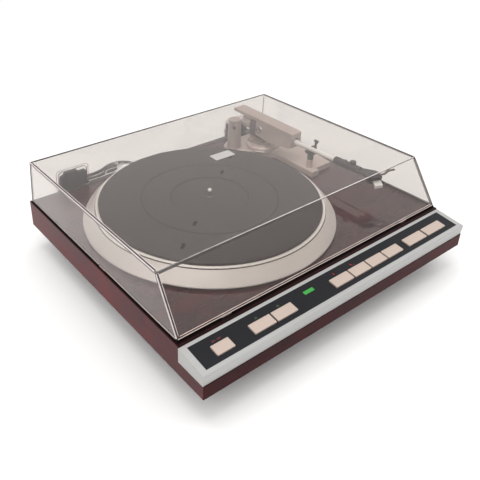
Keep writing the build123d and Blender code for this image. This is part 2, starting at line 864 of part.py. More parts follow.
with BuildPart() as headshell:
    with BuildSketch(arm_flat(-1.0)):
        with BuildLine():
            Polyline(
                (-5.4, -181.0),
                (-7.4, -207.9),
                (7.4, -214.1),
                (13.4, -200.0),
                (5.4, -184.0),
                (5.4, -181.0),
                close=True,
            )
        make_face()
    extrude(amount=3.0)
    fillet(
        headshell.edges().filter_by(Axis.Z).filter_by(
            lambda e: (e.center() - arm.origin).dot(ay_) < -198
        ),
        1.6,
    )
    # round boss that closes the sleeve
    with BuildSketch(arm_cross(-181.0)):
        Circle(5.0)
    extrude(amount=3.0)
    # heads of the two cartridge screws
    with BuildSketch(head_flat(2.0, 1.5, -9.0)):
        with Locations((-5.2, 0), (5.2, 0)):
            Circle(1.7)
    extrude(amount=1.2)
write(headshell, "headshell")

with BuildPart() as finger_lift:
    with BuildSketch(Plane(origin=head_pt(0, -3.4, 0), x_dir=hx_, z_dir=hy_ * -1)):
        with BuildLine():
            Polyline(
                (4.5, 2.0),
                (13.5, 2.0),
                (19.5, 6.4),
                (28.5, 6.9),
                (28.5, 8.1),
                (19.0, 7.6),
                (12.9, 3.1),
                (4.5, 3.1),
                close=True,
            )
        make_face()
    extrude(amount=-3.4)
write(finger_lift, "finger_lift")

# Cartridge: body, two ears that carry the stylus guard, cantilever and tip
CU = 1.5  # cartridge centre to the right of the headshell's middle
GUARD_V, GUARD_Z = -2.5, -5.0  # guard pivot
with BuildPart() as cartridge:
    with BuildSketch(head_side(CU - 7.0)):
        with BuildLine():
            Polyline(
                (5.3, -1.0), (20.0, -1.0), (19.0, -7.0), (16.0, -10.4), (6.6, -10.4), (5.3, -8.6), close=True
            )
        make_face()
    extrude(amount=14.0)
    with BuildSketch(head_side(CU - 7.0)):
        with BuildLine():
            Polyline((1.2, -3.4), (5.3, -3.4), (5.3, -7.4), (2.2, -6.9), (1.2, -5.6), close=True)
        make_face()
        with Locations((2.5, -5.0)):
            Circle(0.8 + FIT, mode=Mode.SUBTRACT)
    extrude(amount=0.9)
    with BuildSketch(head_side(CU + 6.1)):
        with BuildLine():
            Polyline((1.2, -3.4), (5.3, -3.4), (5.3, -7.4), (2.2, -6.9), (1.2, -5.6), close=True)
        make_face()
        with Locations((2.5, -5.0)):
            Circle(0.8 + FIT, mode=Mode.SUBTRACT)
    extrude(amount=0.9)
    # cantilever
    with BuildSketch(head_side(CU - 0.5)):
        with BuildLine():
            Polyline(
                (5.3, -8.6),
                (9.0, -9.8),
                (9.0, -10.8),
                (6.4, -10.8),
                (1.4, -12.4),
                (0.7, -13.2),
                (0.8, -11.8),
                (4.9, -9.9),
                close=True,
            )
        make_face()
    extrude(amount=1.0)
write(cartridge, "cartridge")

with BuildPart() as stylus_guard:
    with BuildSketch(head_side(CU - 5.9)):
        with BuildLine():
            Polyline(
                (2.9, -4.0),
                (-4.3, -8.4),
                (-4.3, -12.5),
                (-3.1, -12.5),
                (-2.9, -9.9),
                (2.2, -6.2),
                (3.6, -5.6),
                close=True,
            )
        make_face()
    extrude(amount=11.8)
    with BuildSketch(head_side(CU - 7.0)):
        with Locations((2.5, -5.0)):
            Circle(0.8)
    extrude(amount=14.0)
write(stylus_guard, "stylus_guard")

# ------------------------------------------------------------ the arm rest
with BuildPart() as rest_post:
    with BuildSketch(arm_flat(PLATE_TOP - AZ, 0, -ARM_REST_S)):
        Circle(4.7)
    extrude(amount=13.6)
write(rest_post, "rest_post")

CRADLE_Z0 = PLATE_TOP + 13.6 - AZ
with BuildPart() as rest_cradle:
    with BuildSketch(arm_flat(CRADLE_Z0, 0, -ARM_REST_S)):
        Circle(4.4)
    extrude(amount=-7.6 - CRADLE_Z0)
    # saddle: low on the platter side, with a wall on the outer side
    with BuildSketch(arm_side(-4.6)):
        with BuildLine():
            Polyline(
                (-ARM_REST_S - 8, -5.5),
                (-ARM_REST_S - 8, -4.0),
                (-ARM_REST_S + 8, -4.0),
                (-ARM_REST_S + 8, -5.5),
                (-ARM_REST_S + 5, -7.6),
                (-ARM_REST_S - 5, -7.6),
                close=True,
            )
        make_face()
    extrude(amount=12.4)
    with BuildSketch(arm_flat(-4.0, 5.9, -ARM_REST_S)):
        Rectangle(3.8, 8.0)
    extrude(amount=6.4)
    with BuildSketch(arm_cross(-ARM_REST_S + 8, 0, 0)):
        with Locations((6.6, 0.4)):
            Circle(1.0 + FIT)
    extrude(amount=16, mode=Mode.SUBTRACT)
    # slot that the clip turns in
    with BuildSketch(arm_flat(-2.4, 5.9, -ARM_REST_S)):
        Rectangle(6.0, 3.4)
    extrude(amount=10, mode=Mode.SUBTRACT)
write(rest_cradle, "rest_cradle")

# Clip, standing open beside the tube: a hook that swings over it and a thumb tab
with BuildPart() as rest_clip:
    with BuildSketch(arm_cross(-ARM_REST_S + 1.5, 6.6, 0.4)):
        with BuildLine():
            Polyline(
                (-1.2, -1.3),
                (1.6, -1.3),
                (3.4, 1.2),
                (3.5, 4.0),
                (8.2, 7.6),
                (7.4, 9.0),
                (3.5, 6.4),
                (3.4, 11.9),
                (-0.7, 11.9),
                (-0.7, 10.1),
                (1.9, 10.1),
                (1.9, 2.4),
                (-1.2, 1.2),
                close=True,
            )
        make_face()
    extrude(amount=3.0)
    with BuildSketch(arm_cross(-ARM_REST_S + 3.9, 6.6, 0.4)):
        Circle(1.0)
    extrude(amount=7.8)
write(rest_clip, "rest_clip")

# pin that lifts the arm's core
with BuildPart() as lift_pin:
    with BuildSketch(arm_flat(-27.5, 0, -14)):
        Circle(1.5)
    extrude(amount=27.5 - 4.5 - 0.05)
write(lift_pin, "lift_pin")

# ================================================================ the lid


def lid_rect(z, inset):
    """Centre and size of the lid's outline at height z, moved in by inset."""
    t = (z - LID_Z0) / (LID_Z1 - LID_Z0)
    hx = LID_X0 + (LID_X1 - LID_X0) * t - inset
    yf = LID_YF0 + (LID_YF1 - LID_YF0) * t + inset * 1.2
    yr = LID_YR0 + (LID_YR1 - LID_YR0) * t - inset
    return hx, yf, yr


with BuildPart() as lid:
    for z in (LID_Z0, LID_Z1):
        hx, yf, yr = lid_rect(z, 0)
        with BuildSketch(Plane.XY.offset(z)):
            with Locations((0, (yf + yr) / 2)):
                Rectangle(2 * hx, yr - yf)
    loft(ruled=True)
    outer_edges = lid.edges().filter_by(lambda e: e.center().Z > LID_Z0 + 1)
    fillet(outer_edges, 1.2)
    with BuildPart(mode=Mode.PRIVATE) as lid_core:
        for z in (LID_Z0 - 1, LID_Z1 - LID_T):
            hx, yf, yr = lid_rect(z, LID_T)
            with BuildSketch(Plane.XY.offset(z)):
                with Locations((0, (yf + yr) / 2)):
                    Rectangle(2 * hx, yr - yf)
        loft(ruled=True)
    add(lid_core.part, mode=Mode.SUBTRACT)
    # one opening in the rear wall for each hinge
    with BuildSketch(Plane.XZ.offset(-198)):
        with Locations((-HINGE_X, (104 + 60) / 2), (HINGE_X, (104 + 60) / 2)):
            RectangleRounded(44, 104 - 60, 5)
    extrude(amount=22, mode=Mode.SUBTRACT)
    # shallow relief behind the platter, so that the wall swings past its edge
    with BuildSketch(Plane.XZ.offset(-198)):
        with Locations((PX, LID_Z0 + 1.0)):
            RectangleRounded(124, 14, 5)
    extrude(amount=22, mode=Mode.SUBTRACT)
write(lid, "lid")

with BuildPart() as lid_bumpers:
    with BuildSketch(Plane.XY.offset(Z_TOP + 0.3)):
        with Locations((-150, -147.0), (150, -147.0)):
            RectangleRounded(14, 2.6, 0.8)
        with Locations((-212.9, 0), (212.9, 0)):
            RectangleRounded(2.4, 14, 0.8)
    extrude(amount=LID_Z0 - Z_TOP - 0.3)
write(lid_bumpers, "lid_bumpers")

for side, name in ((-1, "left"), (1, "right")):
    hxm = side * HINGE_X
    hinge_face = Plane(origin=(hxm, HINGE_Y, HINGE_Z), x_dir=(0, 1, 0), z_dir=(1, 0, 0))
    with BuildPart() as hinge_base:
        with BuildSketch(Plane.XY.offset(Z_TOP)):
            with Locations((hxm, 188.4)):
                RectangleRounded(34, 12.4, 1.5)
        extrude(amount=2.2)
        with BuildSketch(hinge_face.offset(-8)):
            with BuildLine():
                Polyline((-5, 0), (-5, -9), (4.5, -9), (4.5, 0), close=True)
            make_face()
            Circle(5)
        extrude(amount=16)
        with BuildSketch(hinge_face.offset(-10)):
            Circle(1.8)
        extrude(amount=20, mode=Mode.SUBTRACT)
    write(hinge_base, f"hinge_base_{name}")

    with BuildPart() as hinge_leaf:
        # stepped upper block
        with BuildSketch(Plane.XZ.offset(-183.6)):
            with BuildLine():
                Polyline(
                    (hxm - 22, 77.4),
                    (hxm + 22, 77.4),
                    (hxm + 22, 80.8),
                    (hxm + 19.4, 81.6),
                    (hxm + 19.4, 97.6),
                    (hxm + 8.0, 97.6),
                    (hxm + 6.2, 101.4),
                    (hxm - 11.6, 101.4),
                    (hxm - 14.6, 97.6),
                    (hxm - 18.4, 97.6),
                    (hxm - 20.0, 92.0),
                    (hxm - 20.0, 81.6),
                    (hxm - 22, 80.8),
                    close=True,
                )
            make_face()
        extrude(amount=-8.0)
        # knuckles
        with BuildSketch(hinge_face.offset(-20)):
            Circle(5)
        extrude(amount=40)
        # room for the fixed knuckle and its web
        with BuildSketch(hinge_face.offset(-8.4)):
            with BuildLine():
                Polyline((-5.6, 5.6), (-5.6, -12), (8, -12), (8, 5.6), close=True)
            make_face()
        extrude(amount=16.8, mode=Mode.SUBTRACT)
        with BuildSketch(hinge_face.offset(-25)):
            Circle(1.8 + FIT)
        extrude(amount=50, mode=Mode.SUBTRACT)
    write(hinge_leaf, f"hinge_leaf_{name}")

with BuildPart() as hinge_pins:
    for side in (-1, 1):
        with BuildSketch(
            Plane(origin=(side * HINGE_X, HINGE_Y, HINGE_Z), x_dir=(0, 1, 0), z_dir=(1, 0, 0)).offset(-19)
        ):
            Circle(1.8)
        extrude(amount=38)
write(hinge_pins, "hinge_pins")

# ==================================================== rear connector plate
with BuildPart() as socket_plate:
    with BuildSketch(Plane.XZ.offset(-185)):
        with Locations((-80, 48)):
            RectangleRounded(104, 18, 2)
    extrude(amount=2)
    # two line sockets and an earth post
    for x in (-58.0, -42.0):
        with BuildSketch(Plane.XZ.offset(-185)):
            with Locations((x, 48)):
                Circle(4.15)
                Circle(1.6, mode=Mode.SUBTRACT)
        extrude(amount=-8)
        with BuildSketch(Plane.XZ.offset(-185)):
            with Locations((x, 48)):
                RegularPolygon(5.6, 6)
                Circle(4.15, mode=Mode.SUBTRACT)
        extrude(amount=-1.6)
    with BuildSketch(Plane.XZ.offset(-185)):
        with Locations((-78.0, 48)):
            Circle(3.2)
    extrude(amount=-5)
    with BuildSketch(Plane.XZ.offset(-190)):
        with Locations((-78.0, 48)):
            Circle(4.4)
    extrude(amount=-3.5)
write(socket_plate, "socket_plate")

CORD_X = -100.0
CORD_OUT = 208.0  # where the strain relief ends
with BuildPart() as strain_relief:
    with BuildSketch(Plane.XZ.offset(-185)):
        with Locations((CORD_X, 48)):
            Circle(6.4)
    extrude(amount=-3.0)
    with BuildSketch(Plane.XZ.offset(-188)):
        with Locations((CORD_X, 48)):
            Circle(4.9)
    with BuildSketch(Plane.XZ.offset(-CORD_OUT)):
        with Locations((CORD_X, 48)):
            Circle(3.3)
    loft()
write(strain_relief, "strain_relief")

# ========================================================== the mains cord
# It leaves the rear wall, drops to the floor, is coiled behind the plinth and
# comes out again towards its plug.


def route(points):
    pts = [Vector(*p) for p in points]
    radii = []
    for a, b, c in zip(pts, pts[1:], pts[2:]):
        turn = radians((b - a).get_angle(c - b))
        radii.append(round(0.45 * min((b - a).length, (c - b).length) / tan(turn / 2), 2))
    return pts, radii


def cord_tube(points, label):
    pts, radii = route(points)
    with BuildPart() as cord:
        with BuildLine() as path:
            FilletPolyline(*pts, radius=radii)
        with BuildSketch(Plane(origin=pts[0], z_dir=pts[1] - pts[0])):
            Circle(CORD_R)
        sweep()
    length = path.wires()[0].length
    print(label, "length", round(length, 1), "radii", radii)
    print("  turns", [round((b - a).get_angle(c - b), 1) for a, b, c in zip(pts, pts[1:], pts[2:])])
    print("  runs", [round((b - a).length, 1) for a, b in zip(pts, pts[1:])])
    print("  volume ratio", round(cord.part.volume / (pi * CORD_R**2 * length), 4))
    write(cord, label)


CORD_ROUTE = [
    (CORD_X, CORD_OUT, 48.0),
    (CORD_X, 221.0, 48.0),
    (-100.8, 236.0, 41.5),
    (-102.8, 249.5, 25.0),
    (-105.5, 263.0, 10.2),
    (-108.0, 281.0, 3.2),
    (-108.5, 301.0, 2.6),
    (-98.5, 319.5, 2.6),
    (-79.0, 331.2, 2.6),
    (-54.5, 330.2, 2.6),
    (-32.5, 332.6, 2.6),
    (-11.0, 344.4, 2.6),
    (11.5, 343.4, 2.6),
    (27.5, 327.5, 2.6),
    (33.5, 304.5, 2.6),
    (32.0, 277.0, 2.6),
    (23.0, 251.0, 2.6),
    (5.0, 230.0, 2.6),
    (-20.5, 218.4, 2.6),
    (-43.5, 219.8, 2.6),
    (-62.0, 218.8, 2.6),
]
cord_tube(CORD_ROUTE, "mains_cord")

COIL = (-62.0, 252.0)  # middle of the coil
COIL_RM, COIL_W, COIL_H = 28.4, 14.4, 14.4  # mean radius and section of the bundle
with BuildPart() as cord_coil:
    with BuildSketch(Plane(origin=(COIL[0], COIL[1], 0), x_dir=(1, 0, 0), z_dir=(0, -1, 0))):
        with Locations((COIL_RM, COIL_H / 2 + 0.2)):
            RectangleRounded(COIL_W, COIL_H, 3.0)
    revolve(axis=Axis((COIL[0], COIL[1], 0), (0, 0, 1)))
write(cord_coil, "cord_coil")

TAIL_ROUTE = [
    (-95.2, 252.0, 12.2),
    (-95.4, 265.0, 11.4),
    (-97.0, 281.0, 6.6),
    (-93.8, 297.5, 2.9),
    (-83.5, 311.0, 2.6),
    (-67.0, 319.4, 2.6),
    (-50.5, 317.8, 2.7),
    (-39.6, 318.0, 3.2),
    (-29.5, 321.2, 4.1),
]
cord_tube(TAIL_ROUTE, "mains_cord_tail")

# plug lying on the floor at the end of the cord
plug_d = Vector(*TAIL_ROUTE[-1]) - Vector(*TAIL_ROUTE[-2])
plug_h = Vector(plug_d.X, plug_d.Y, 0).normalized()
plug_o = Vector(*TAIL_ROUTE[-1])


def plug_at(d, dz=0.0):
    return Plane(
        origin=plug_o + plug_h * d + Vector(0, 0, dz),
        x_dir=Vector(plug_h.Y, -plug_h.X, 0),
        z_dir=plug_h,
    )


with BuildPart() as mains_plug:
    with BuildSketch(plug_at(0.0)):
        Circle(3.3)
    with BuildSketch(plug_at(8.0, 1.2)):
        RectangleRounded(9.0, 8.0, 3.0)
    loft()
    with BuildSketch(plug_at(8.0, 1.2)):
        RectangleRounded(9.0, 8.0, 3.0)
    with BuildSketch(plug_at(13.0, 1.9)):
        RectangleRounded(15.5, 11.0, 3.6)
    loft()
    with BuildSketch(plug_at(13.0, 1.9)):
        RectangleRounded(15.5, 11.0, 3.6)
    extrude(amount=10.0)
    with BuildSketch(plug_at(23.0, 1.9)):
        with Locations((-6.35 + 0.75, 0), (6.35 - 0.75, 0)):
            Rectangle(1.5, 6.3)
    extrude(amount=16.0)
write(mains_plug, "mains_plug")
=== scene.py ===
"""Record player with a smoked hinged lid: finishes, cord, small parts, light and camera."""

import math

import bmesh
import bpy
from mathutils import Matrix, Vector


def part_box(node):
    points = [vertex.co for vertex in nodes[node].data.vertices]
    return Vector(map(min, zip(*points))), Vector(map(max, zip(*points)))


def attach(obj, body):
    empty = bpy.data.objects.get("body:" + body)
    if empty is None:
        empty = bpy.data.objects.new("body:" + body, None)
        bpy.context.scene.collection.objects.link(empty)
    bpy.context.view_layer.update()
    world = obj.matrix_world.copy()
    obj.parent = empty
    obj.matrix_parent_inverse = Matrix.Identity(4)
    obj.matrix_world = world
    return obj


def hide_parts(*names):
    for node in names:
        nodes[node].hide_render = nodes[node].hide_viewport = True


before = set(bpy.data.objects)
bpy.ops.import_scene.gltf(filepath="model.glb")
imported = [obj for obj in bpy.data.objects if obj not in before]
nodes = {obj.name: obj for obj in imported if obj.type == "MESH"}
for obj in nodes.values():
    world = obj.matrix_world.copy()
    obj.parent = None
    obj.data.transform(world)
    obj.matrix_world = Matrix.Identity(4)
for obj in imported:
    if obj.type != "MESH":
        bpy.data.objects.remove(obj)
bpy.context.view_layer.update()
MM = 0.001


# ------------------------------------------------------------------ camera
cam_data = bpy.data.cameras.new("camera")
cam = bpy.data.objects.new("camera", cam_data)
bpy.context.scene.collection.objects.link(cam)
cam_data.lens = 45.54
cam_data.sensor_width = 36.0
cam_data.sensor_fit = "HORIZONTAL"
cam_data.shift_x = 0.0996
cam_data.shift_y = -0.1333
cam_data.clip_start = 0.01
cam_data.clip_end = 50.0
RX = Vector((0.79726, -0.60363, 0.00197))
RY = Vector((-0.28591, -0.38049, -0.87948))
RZ = Vector((0.53163, 0.70061, -0.47593))
rot = Matrix((RX, -RY, -RZ)).transposed()
cam.matrix_world = Matrix.Translation((-0.47396, -0.51509, 0.50352)) @ rot.to_4x4()
bpy.context.scene.camera = cam
bpy.context.scene.view_settings.view_transform = "Standard"
bpy.context.scene.view_settings.look = "None"


# ---------------------------------------------------------- material tools
class Mat:
    """A node material with a Principled shader and short calls for its texture nodes."""

    def __init__(self, name):
        self.m = bpy.data.materials.new(name)
        self.m.use_nodes = True
        self.t = self.m.node_tree
        self.p = self.t.nodes["Principled BSDF"]
        self.out = self.t.nodes["Material Output"]
        self.tc = self.n("ShaderNodeTexCoord")
        self.obj = self.tc.outputs["Object"]

    def n(self, kind, **kw):
        node = self.t.nodes.new(kind)
        for k, v in kw.items():
            setattr(node, k, v)
        return node

    def link(self, a, b):
        self.t.links.new(a, b)

    def put(self, socket, value):
        if isinstance(value, bpy.types.NodeSocket):
            self.link(value, socket)
        else:
            socket.default_value = value

    def mapping(self, vec, scale=(1, 1, 1), loc=(0, 0, 0), rotation=(0, 0, 0)):
        n = self.n("ShaderNodeMapping")
        self.link(vec, n.inputs["Vector"])
        n.inputs["Scale"].default_value = scale
        n.inputs["Location"].default_value = loc
        n.inputs["Rotation"].default_value = rotation
        return n.outputs["Vector"]

    def noise(self, vec, scale, detail=4.0, rough=0.55, distortion=0.0):
        n = self.n("ShaderNodeTexNoise")
        self.link(vec, n.inputs["Vector"])
        n.inputs["Scale"].default_value = scale
        n.inputs["Detail"].default_value = detail
        n.inputs["Roughness"].default_value = rough
        n.inputs["Distortion"].default_value = distortion
        return n.outputs["Fac"]

    def voronoi(self, vec, scale, feature="F1"):
        n = self.n("ShaderNodeTexVoronoi", feature=feature)
        self.link(vec, n.inputs["Vector"])
        n.inputs["Scale"].default_value = scale
        return n.outputs["Distance"]

    def math(self, op, a, b=0.0, c=0.0, clamp=False):
        n = self.n("ShaderNodeMath", operation=op, use_clamp=clamp)
        self.put(n.inputs[0], a)
        self.put(n.inputs[1], b)
        if len(n.inputs) > 2:
            self.put(n.inputs[2], c)
        return n.outputs[0]

    def range(self, v, a, b, c, d):
        n = self.n("ShaderNodeMapRange")
        self.put(n.inputs["Value"], v)
        n.inputs["From Min"].default_value = a
        n.inputs["From Max"].default_value = b
        n.inputs["To Min"].default_value = c
        n.inputs["To Max"].default_value = d
        return n.outputs["Result"]

    def ramp(self, fac, stops, interpolation="LINEAR"):
        n = self.n("ShaderNodeValToRGB")
        n.color_ramp.interpolation = interpolation
        e = n.color_ramp.elements
        while len(e) > len(stops):
            e.remove(e[-1])
        while len(e) < len(stops):
            e.new(0.5)
        for el, (pos, col) in zip(e, stops):
            el.position = pos
            el.color = (*col, 1.0)
        self.put(n.inputs["Fac"], fac)
        return n.outputs["Color"]

    def mix(self, fac, a, b, blend="MIX"):
        n = self.n("ShaderNodeMix", data_type="RGBA", blend_type=blend)
        self.put(n.inputs[0], fac)
        self.put(n.inputs[6], a if isinstance(a, bpy.types.NodeSocket) else (*a, 1.0))
        self.put(n.inputs[7], b if isinstance(b, bpy.types.NodeSocket) else (*b, 1.0))
        return n.outputs[2]

    def xyz(self, vec):
        n = self.n("ShaderNodeSeparateXYZ")
        self.link(vec, n.inputs[0])
        return n.outputs[0], n.outputs[1], n.outputs[2]

    def vec(self, x=0.0, y=0.0, z=0.0):
        n = self.n("ShaderNodeCombineXYZ")
        for s, v in zip(n.inputs, (x, y, z)):
            self.put(s, v)
        return n.outputs[0]

    def radius(self, cx, cy):
        """Distance from a vertical axis, and the angle about it."""
        x, y, _ = self.xyz(self.obj)
        dx = self.math("SUBTRACT", x, cx)
        dy = self.math("SUBTRACT", y, cy)
        r = self.math("SQRT", self.math("ADD", self.math("MULTIPLY", dx, dx), self.math("MULTIPLY", dy, dy)))
        return r, self.math("ARCTAN2", dy, dx)

    def bevel(self, radius, samples=4):
        n = self.n("ShaderNodeBevel")
        n.samples = samples
        n.inputs["Radius"].default_value = radius
        return n.outputs["Normal"]

    def bump(self, height, distance, strength=1.0, normal=None):
        n = self.n("ShaderNodeBump")
        n.inputs["Strength"].default_value = strength
        n.inputs["Distance"].default_value = distance
        self.link(height, n.inputs["Height"])
        if normal is not None:
            self.link(normal, n.inputs["Normal"])
        return n.outputs["Normal"]

    def edge(self, bevel_normal, low=0.02, high=0.25):
        """1 on sharp edges, 0 on flats."""
        g = self.n("ShaderNodeNewGeometry")
        d = self.n("ShaderNodeVectorMath", operation="DOT_PRODUCT")
        self.link(bevel_normal, d.inputs[0])
        self.link(g.outputs["Normal"], d.inputs[1])
        inv = self.math("SUBTRACT", 1.0, d.outputs["Value"])
        return self.range(inv, low, high, 0.0, 1.0)

    def set(self, **kw):
        names = {
            "base": "Base Color",
            "rough": "Roughness",
            "metal": "Metallic",
            "normal": "Normal",
            "coat": "Coat Weight",
            "coat_rough": "Coat Roughness",
            "ior": "IOR",
            "spec": "Specular IOR Level",
            "sheen": "Sheen Weight",
            "sheen_rough": "Sheen Roughness",
            "trans": "Transmission Weight",
            "aniso": "Anisotropic",
            "emit": "Emission Color",
            "emit_power": "Emission Strength",
            "sss": "Subsurface Weight",
        }
        for k, v in kw.items():
            s = self.p.inputs[names[k]]
            if isinstance(v, tuple) and len(v) == 3 and s.type == "RGBA":
                v = (*v, 1.0)
            self.put(s, v)
        return self


def shade(c, k):
    return tuple(min(1.0, x * k) for x in c)


def finish(
    name,
    base,
    rough,
    metal=0.0,
    coat=0.0,
    grain=900.0,
    grain_depth=0.00001,
    vary=0.08,
    cloud=14.0,
    bevel=0.0004,
    wear_and_highlight=0.0,
    wear_and_highlight_to=None,
    rough_vary=0.06,
    spec=0.5,
):
    """A paint, moulded plastic or plain metal: clouded tone, fine grain, softened edges."""
    m = Mat(name)
    big = m.noise(m.obj, cloud, 3.0, 0.5)
    fine = m.noise(m.obj, grain, 2.0, 0.6)
    tone = m.math("ADD", m.math("MULTIPLY", big, 0.7), m.math("MULTIPLY", fine, 0.3))
    col = m.ramp(tone, [(0.3, shade(base, 1 - vary)), (0.7, shade(base, 1 + vary))])
    nb = m.bevel(bevel)
    # lightens the edges in patches towards wear_and_highlight_to: worn edges on most parts, a painted edge highlight
    # where wear_and_highlight is set high, as on the base plate
    if wear_and_highlight > 0:
        e = m.math("MULTIPLY", m.edge(nb), m.range(m.noise(m.obj, 160.0, 3.0), 0.4, 0.62, 0.0, wear_and_highlight), clamp=True)
        col = m.mix(e, col, wear_and_highlight_to or shade(base, 1.5))
    r = m.range(tone, 0.3, 0.7, max(0.02, rough - rough_vary), rough + rough_vary)
    m.set(base=col, rough=r, metal=metal, coat=coat, coat_rough=0.12, spec=spec)
    m.set(normal=m.bump(fine, grain_depth, 1.0, nb))
    return m.m


# ---------------------------------------------------------------- materials
def wood_material(name, frame_sides):
    """Glossy dark red-brown veneer; the grain runs along each side. On the frame, the front and top faces are darkened
    as painted shade.
    """
    m = Mat(name)
    along_x = m.mapping(m.obj, (1.0, 13.0, 13.0))
    if frame_sides:
        nx, ny, nz = m.xyz(m.tc.outputs["Normal"])
        side = m.math("GREATER_THAN", m.math("ABSOLUTE", nx), 0.7)
        along_y = m.mapping(m.obj, (13.0, 1.0, 13.0), (3.1, 1.7, 0.4))
        mixv = m.n("ShaderNodeMix", data_type="VECTOR")
        m.link(side, mixv.inputs[0])
        m.link(along_x, mixv.inputs[4])
        m.link(along_y, mixv.inputs[5])
        v = mixv.outputs[1]
    else:
        v = along_x
    figure = m.noise(v, 2.4, 5.0, 0.62, 0.6)
    streak = m.noise(m.mapping(v, (1.0, 6.0, 6.0)), 3.2, 6.0, 0.7, 0.15)
    pores = m.noise(m.mapping(v, (2.0, 38.0, 38.0)), 9.0, 2.0, 0.6)
    cloud = m.noise(m.obj, 26.0, 5.0, 0.62, 0.4)
    tone = m.math("ADD", m.math("MULTIPLY", figure, 0.38), m.math("MULTIPLY", streak, 0.20))
    tone = m.math("ADD", tone, m.math("MULTIPLY", cloud, 0.42))
    col = m.ramp(
        tone,
        [
            (0.30, (0.022, 0.0045, 0.0060)),
            (0.46, (0.062, 0.0082, 0.0108)),
            (0.58, (0.104, 0.0122, 0.0156)),
            (0.72, (0.155, 0.0160, 0.0190)),
        ],
    )
    if frame_sides:
        # painted shade: the frame's front faces and, more strongly, its top faces are darkened towards near-black
        front = m.range(m.math("ABSOLUTE", ny), 0.5, 0.9, 0.0, 0.50)
        upper = m.range(nz, 0.5, 0.9, 0.0, 0.88)
        col = m.mix(m.math("ADD", front, upper, clamp=True), col, (0.004, 0.002, 0.002))
    else:
        col = m.mix(m.range(cloud, 0.3, 0.7, 0.50, 0.34), col, (0.006, 0.003, 0.003))
    pore = m.range(pores, 0.57, 0.70, 0.0, 0.35 if frame_sides else 0.12)
    col = m.mix(pore, col, (0.010, 0.004, 0.004))
    nb = m.bevel(0.0006)
    e = m.math("MULTIPLY", m.edge(nb, 0.03, 0.3), m.range(streak, 0.42, 0.6, 0.05, 0.30), clamp=True)
    col = m.mix(e, col, (0.10, 0.03, 0.03))
    if frame_sides:
        level = m.range(m.math("ABSOLUTE", ny), 0.5, 0.9, 1.0, 0.0)
        m.set(base=col, rough=m.range(tone, 0.35, 0.65, 0.30, 0.40))
        m.set(coat=m.range(level, 0.0, 1.0, 0.02, 0.05), coat_rough=0.10, spec=m.range(level, 0.0, 1.0, 0.05, 0.12))
    else:
        m.set(base=col, rough=m.range(tone, 0.35, 0.65, 0.24, 0.34), coat=1.0, coat_rough=0.008, spec=0.10)
        m.p.inputs["Coat IOR"].default_value = 1.58
    m.link(nb, m.p.inputs["Coat Normal"])
    m.set(normal=m.bump(streak, 0.000006, 0.3, nb) if frame_sides else nb)
    return m.m


def brushed(name, base, rough, metal, axis, vary=0.05, lines=1400.0, depth=0.000006, bevel=0.0006, wear_and_highlight=0.25):
    """Satin metal with fine lines along one axis."""
    m = Mat(name)
    s = [1.0, 1.0, 1.0]
    s[axis] = 0.012
    v = m.mapping(m.obj, tuple(s))
    line = m.noise(v, lines, 3.0, 0.65)
    big = m.noise(m.obj, 9.0, 3.0, 0.5)
    tone = m.math("ADD", m.math("MULTIPLY", line, 0.5), m.math("MULTIPLY", big, 0.5))
    col = m.ramp(tone, [(0.35, shade(base, 1 - vary)), (0.65, shade(base, 1 + vary))])
    nb = m.bevel(bevel)
    # edges lightened evenly: worn edges and a painted edge highlight
    e = m.math("MULTIPLY", m.edge(nb), wear_and_highlight)
    col = m.mix(e, col, shade(base, 1.35))
    m.set(base=col, rough=m.range(line, 0.35, 0.65, rough - 0.05, rough + 0.05), metal=metal)
    m.set(normal=m.bump(line, depth, 1.0, nb))
    return m.m


PX, PY = -0.0375, 0.022
SLOT_MIDS = (-0.1199, -0.0700, 0.0684, 0.1180)
# half length and half width of the painted shade over each slot in the mat
SLOT_HALF, SLOT_WIDE = 0.0058, 0.0022


def platter_material():
    """Cast and lathe-turned: satin champagne flank, bright machined rim, and a groove darkened as painted shade."""
    m = Mat("platter_turned")
    r, ang = m.radius(PX, PY)
    turned = m.noise(m.vec(m.math("MULTIPLY", r, 3200.0), m.math("MULTIPLY", ang, 0.35), 0.0), 1.0, 4.0, 0.6)
    cloud = m.noise(m.obj, 16.0, 4.0, 0.5)
    tone = m.math("ADD", m.math("MULTIPLY", turned, 0.45), m.math("MULTIPLY", cloud, 0.55))
    flank = m.ramp(tone, [(0.35, (0.700, 0.655, 0.625)), (0.65, (0.770, 0.722, 0.690))])
    rim = m.ramp(turned, [(0.3, (0.84, 0.80, 0.76)), (0.7, (0.95, 0.92, 0.89))])
    bright = m.math(
        "MULTIPLY",
        m.math("GREATER_THAN", r, 0.1461),
        m.math("LESS_THAN", r, 0.14990),
    )
    # painted shade: the groove between the bright rim and the flank is coloured near-black
    dark = m.math("MULTIPLY", m.math("GREATER_THAN", r, 0.14990), m.math("LESS_THAN", r, 0.15065))
    col = m.mix(bright, flank, rim)
    col = m.mix(dark, col, (0.10, 0.085, 0.075))
    nb = m.bevel(0.0005)
    m.set(base=col, metal=0.25, rough=m.range(turned, 0.3, 0.7, 0.38, 0.48), aniso=0.3)
    m.set(normal=m.bump(turned, 0.000012, 1.0, nb))
    return m.m


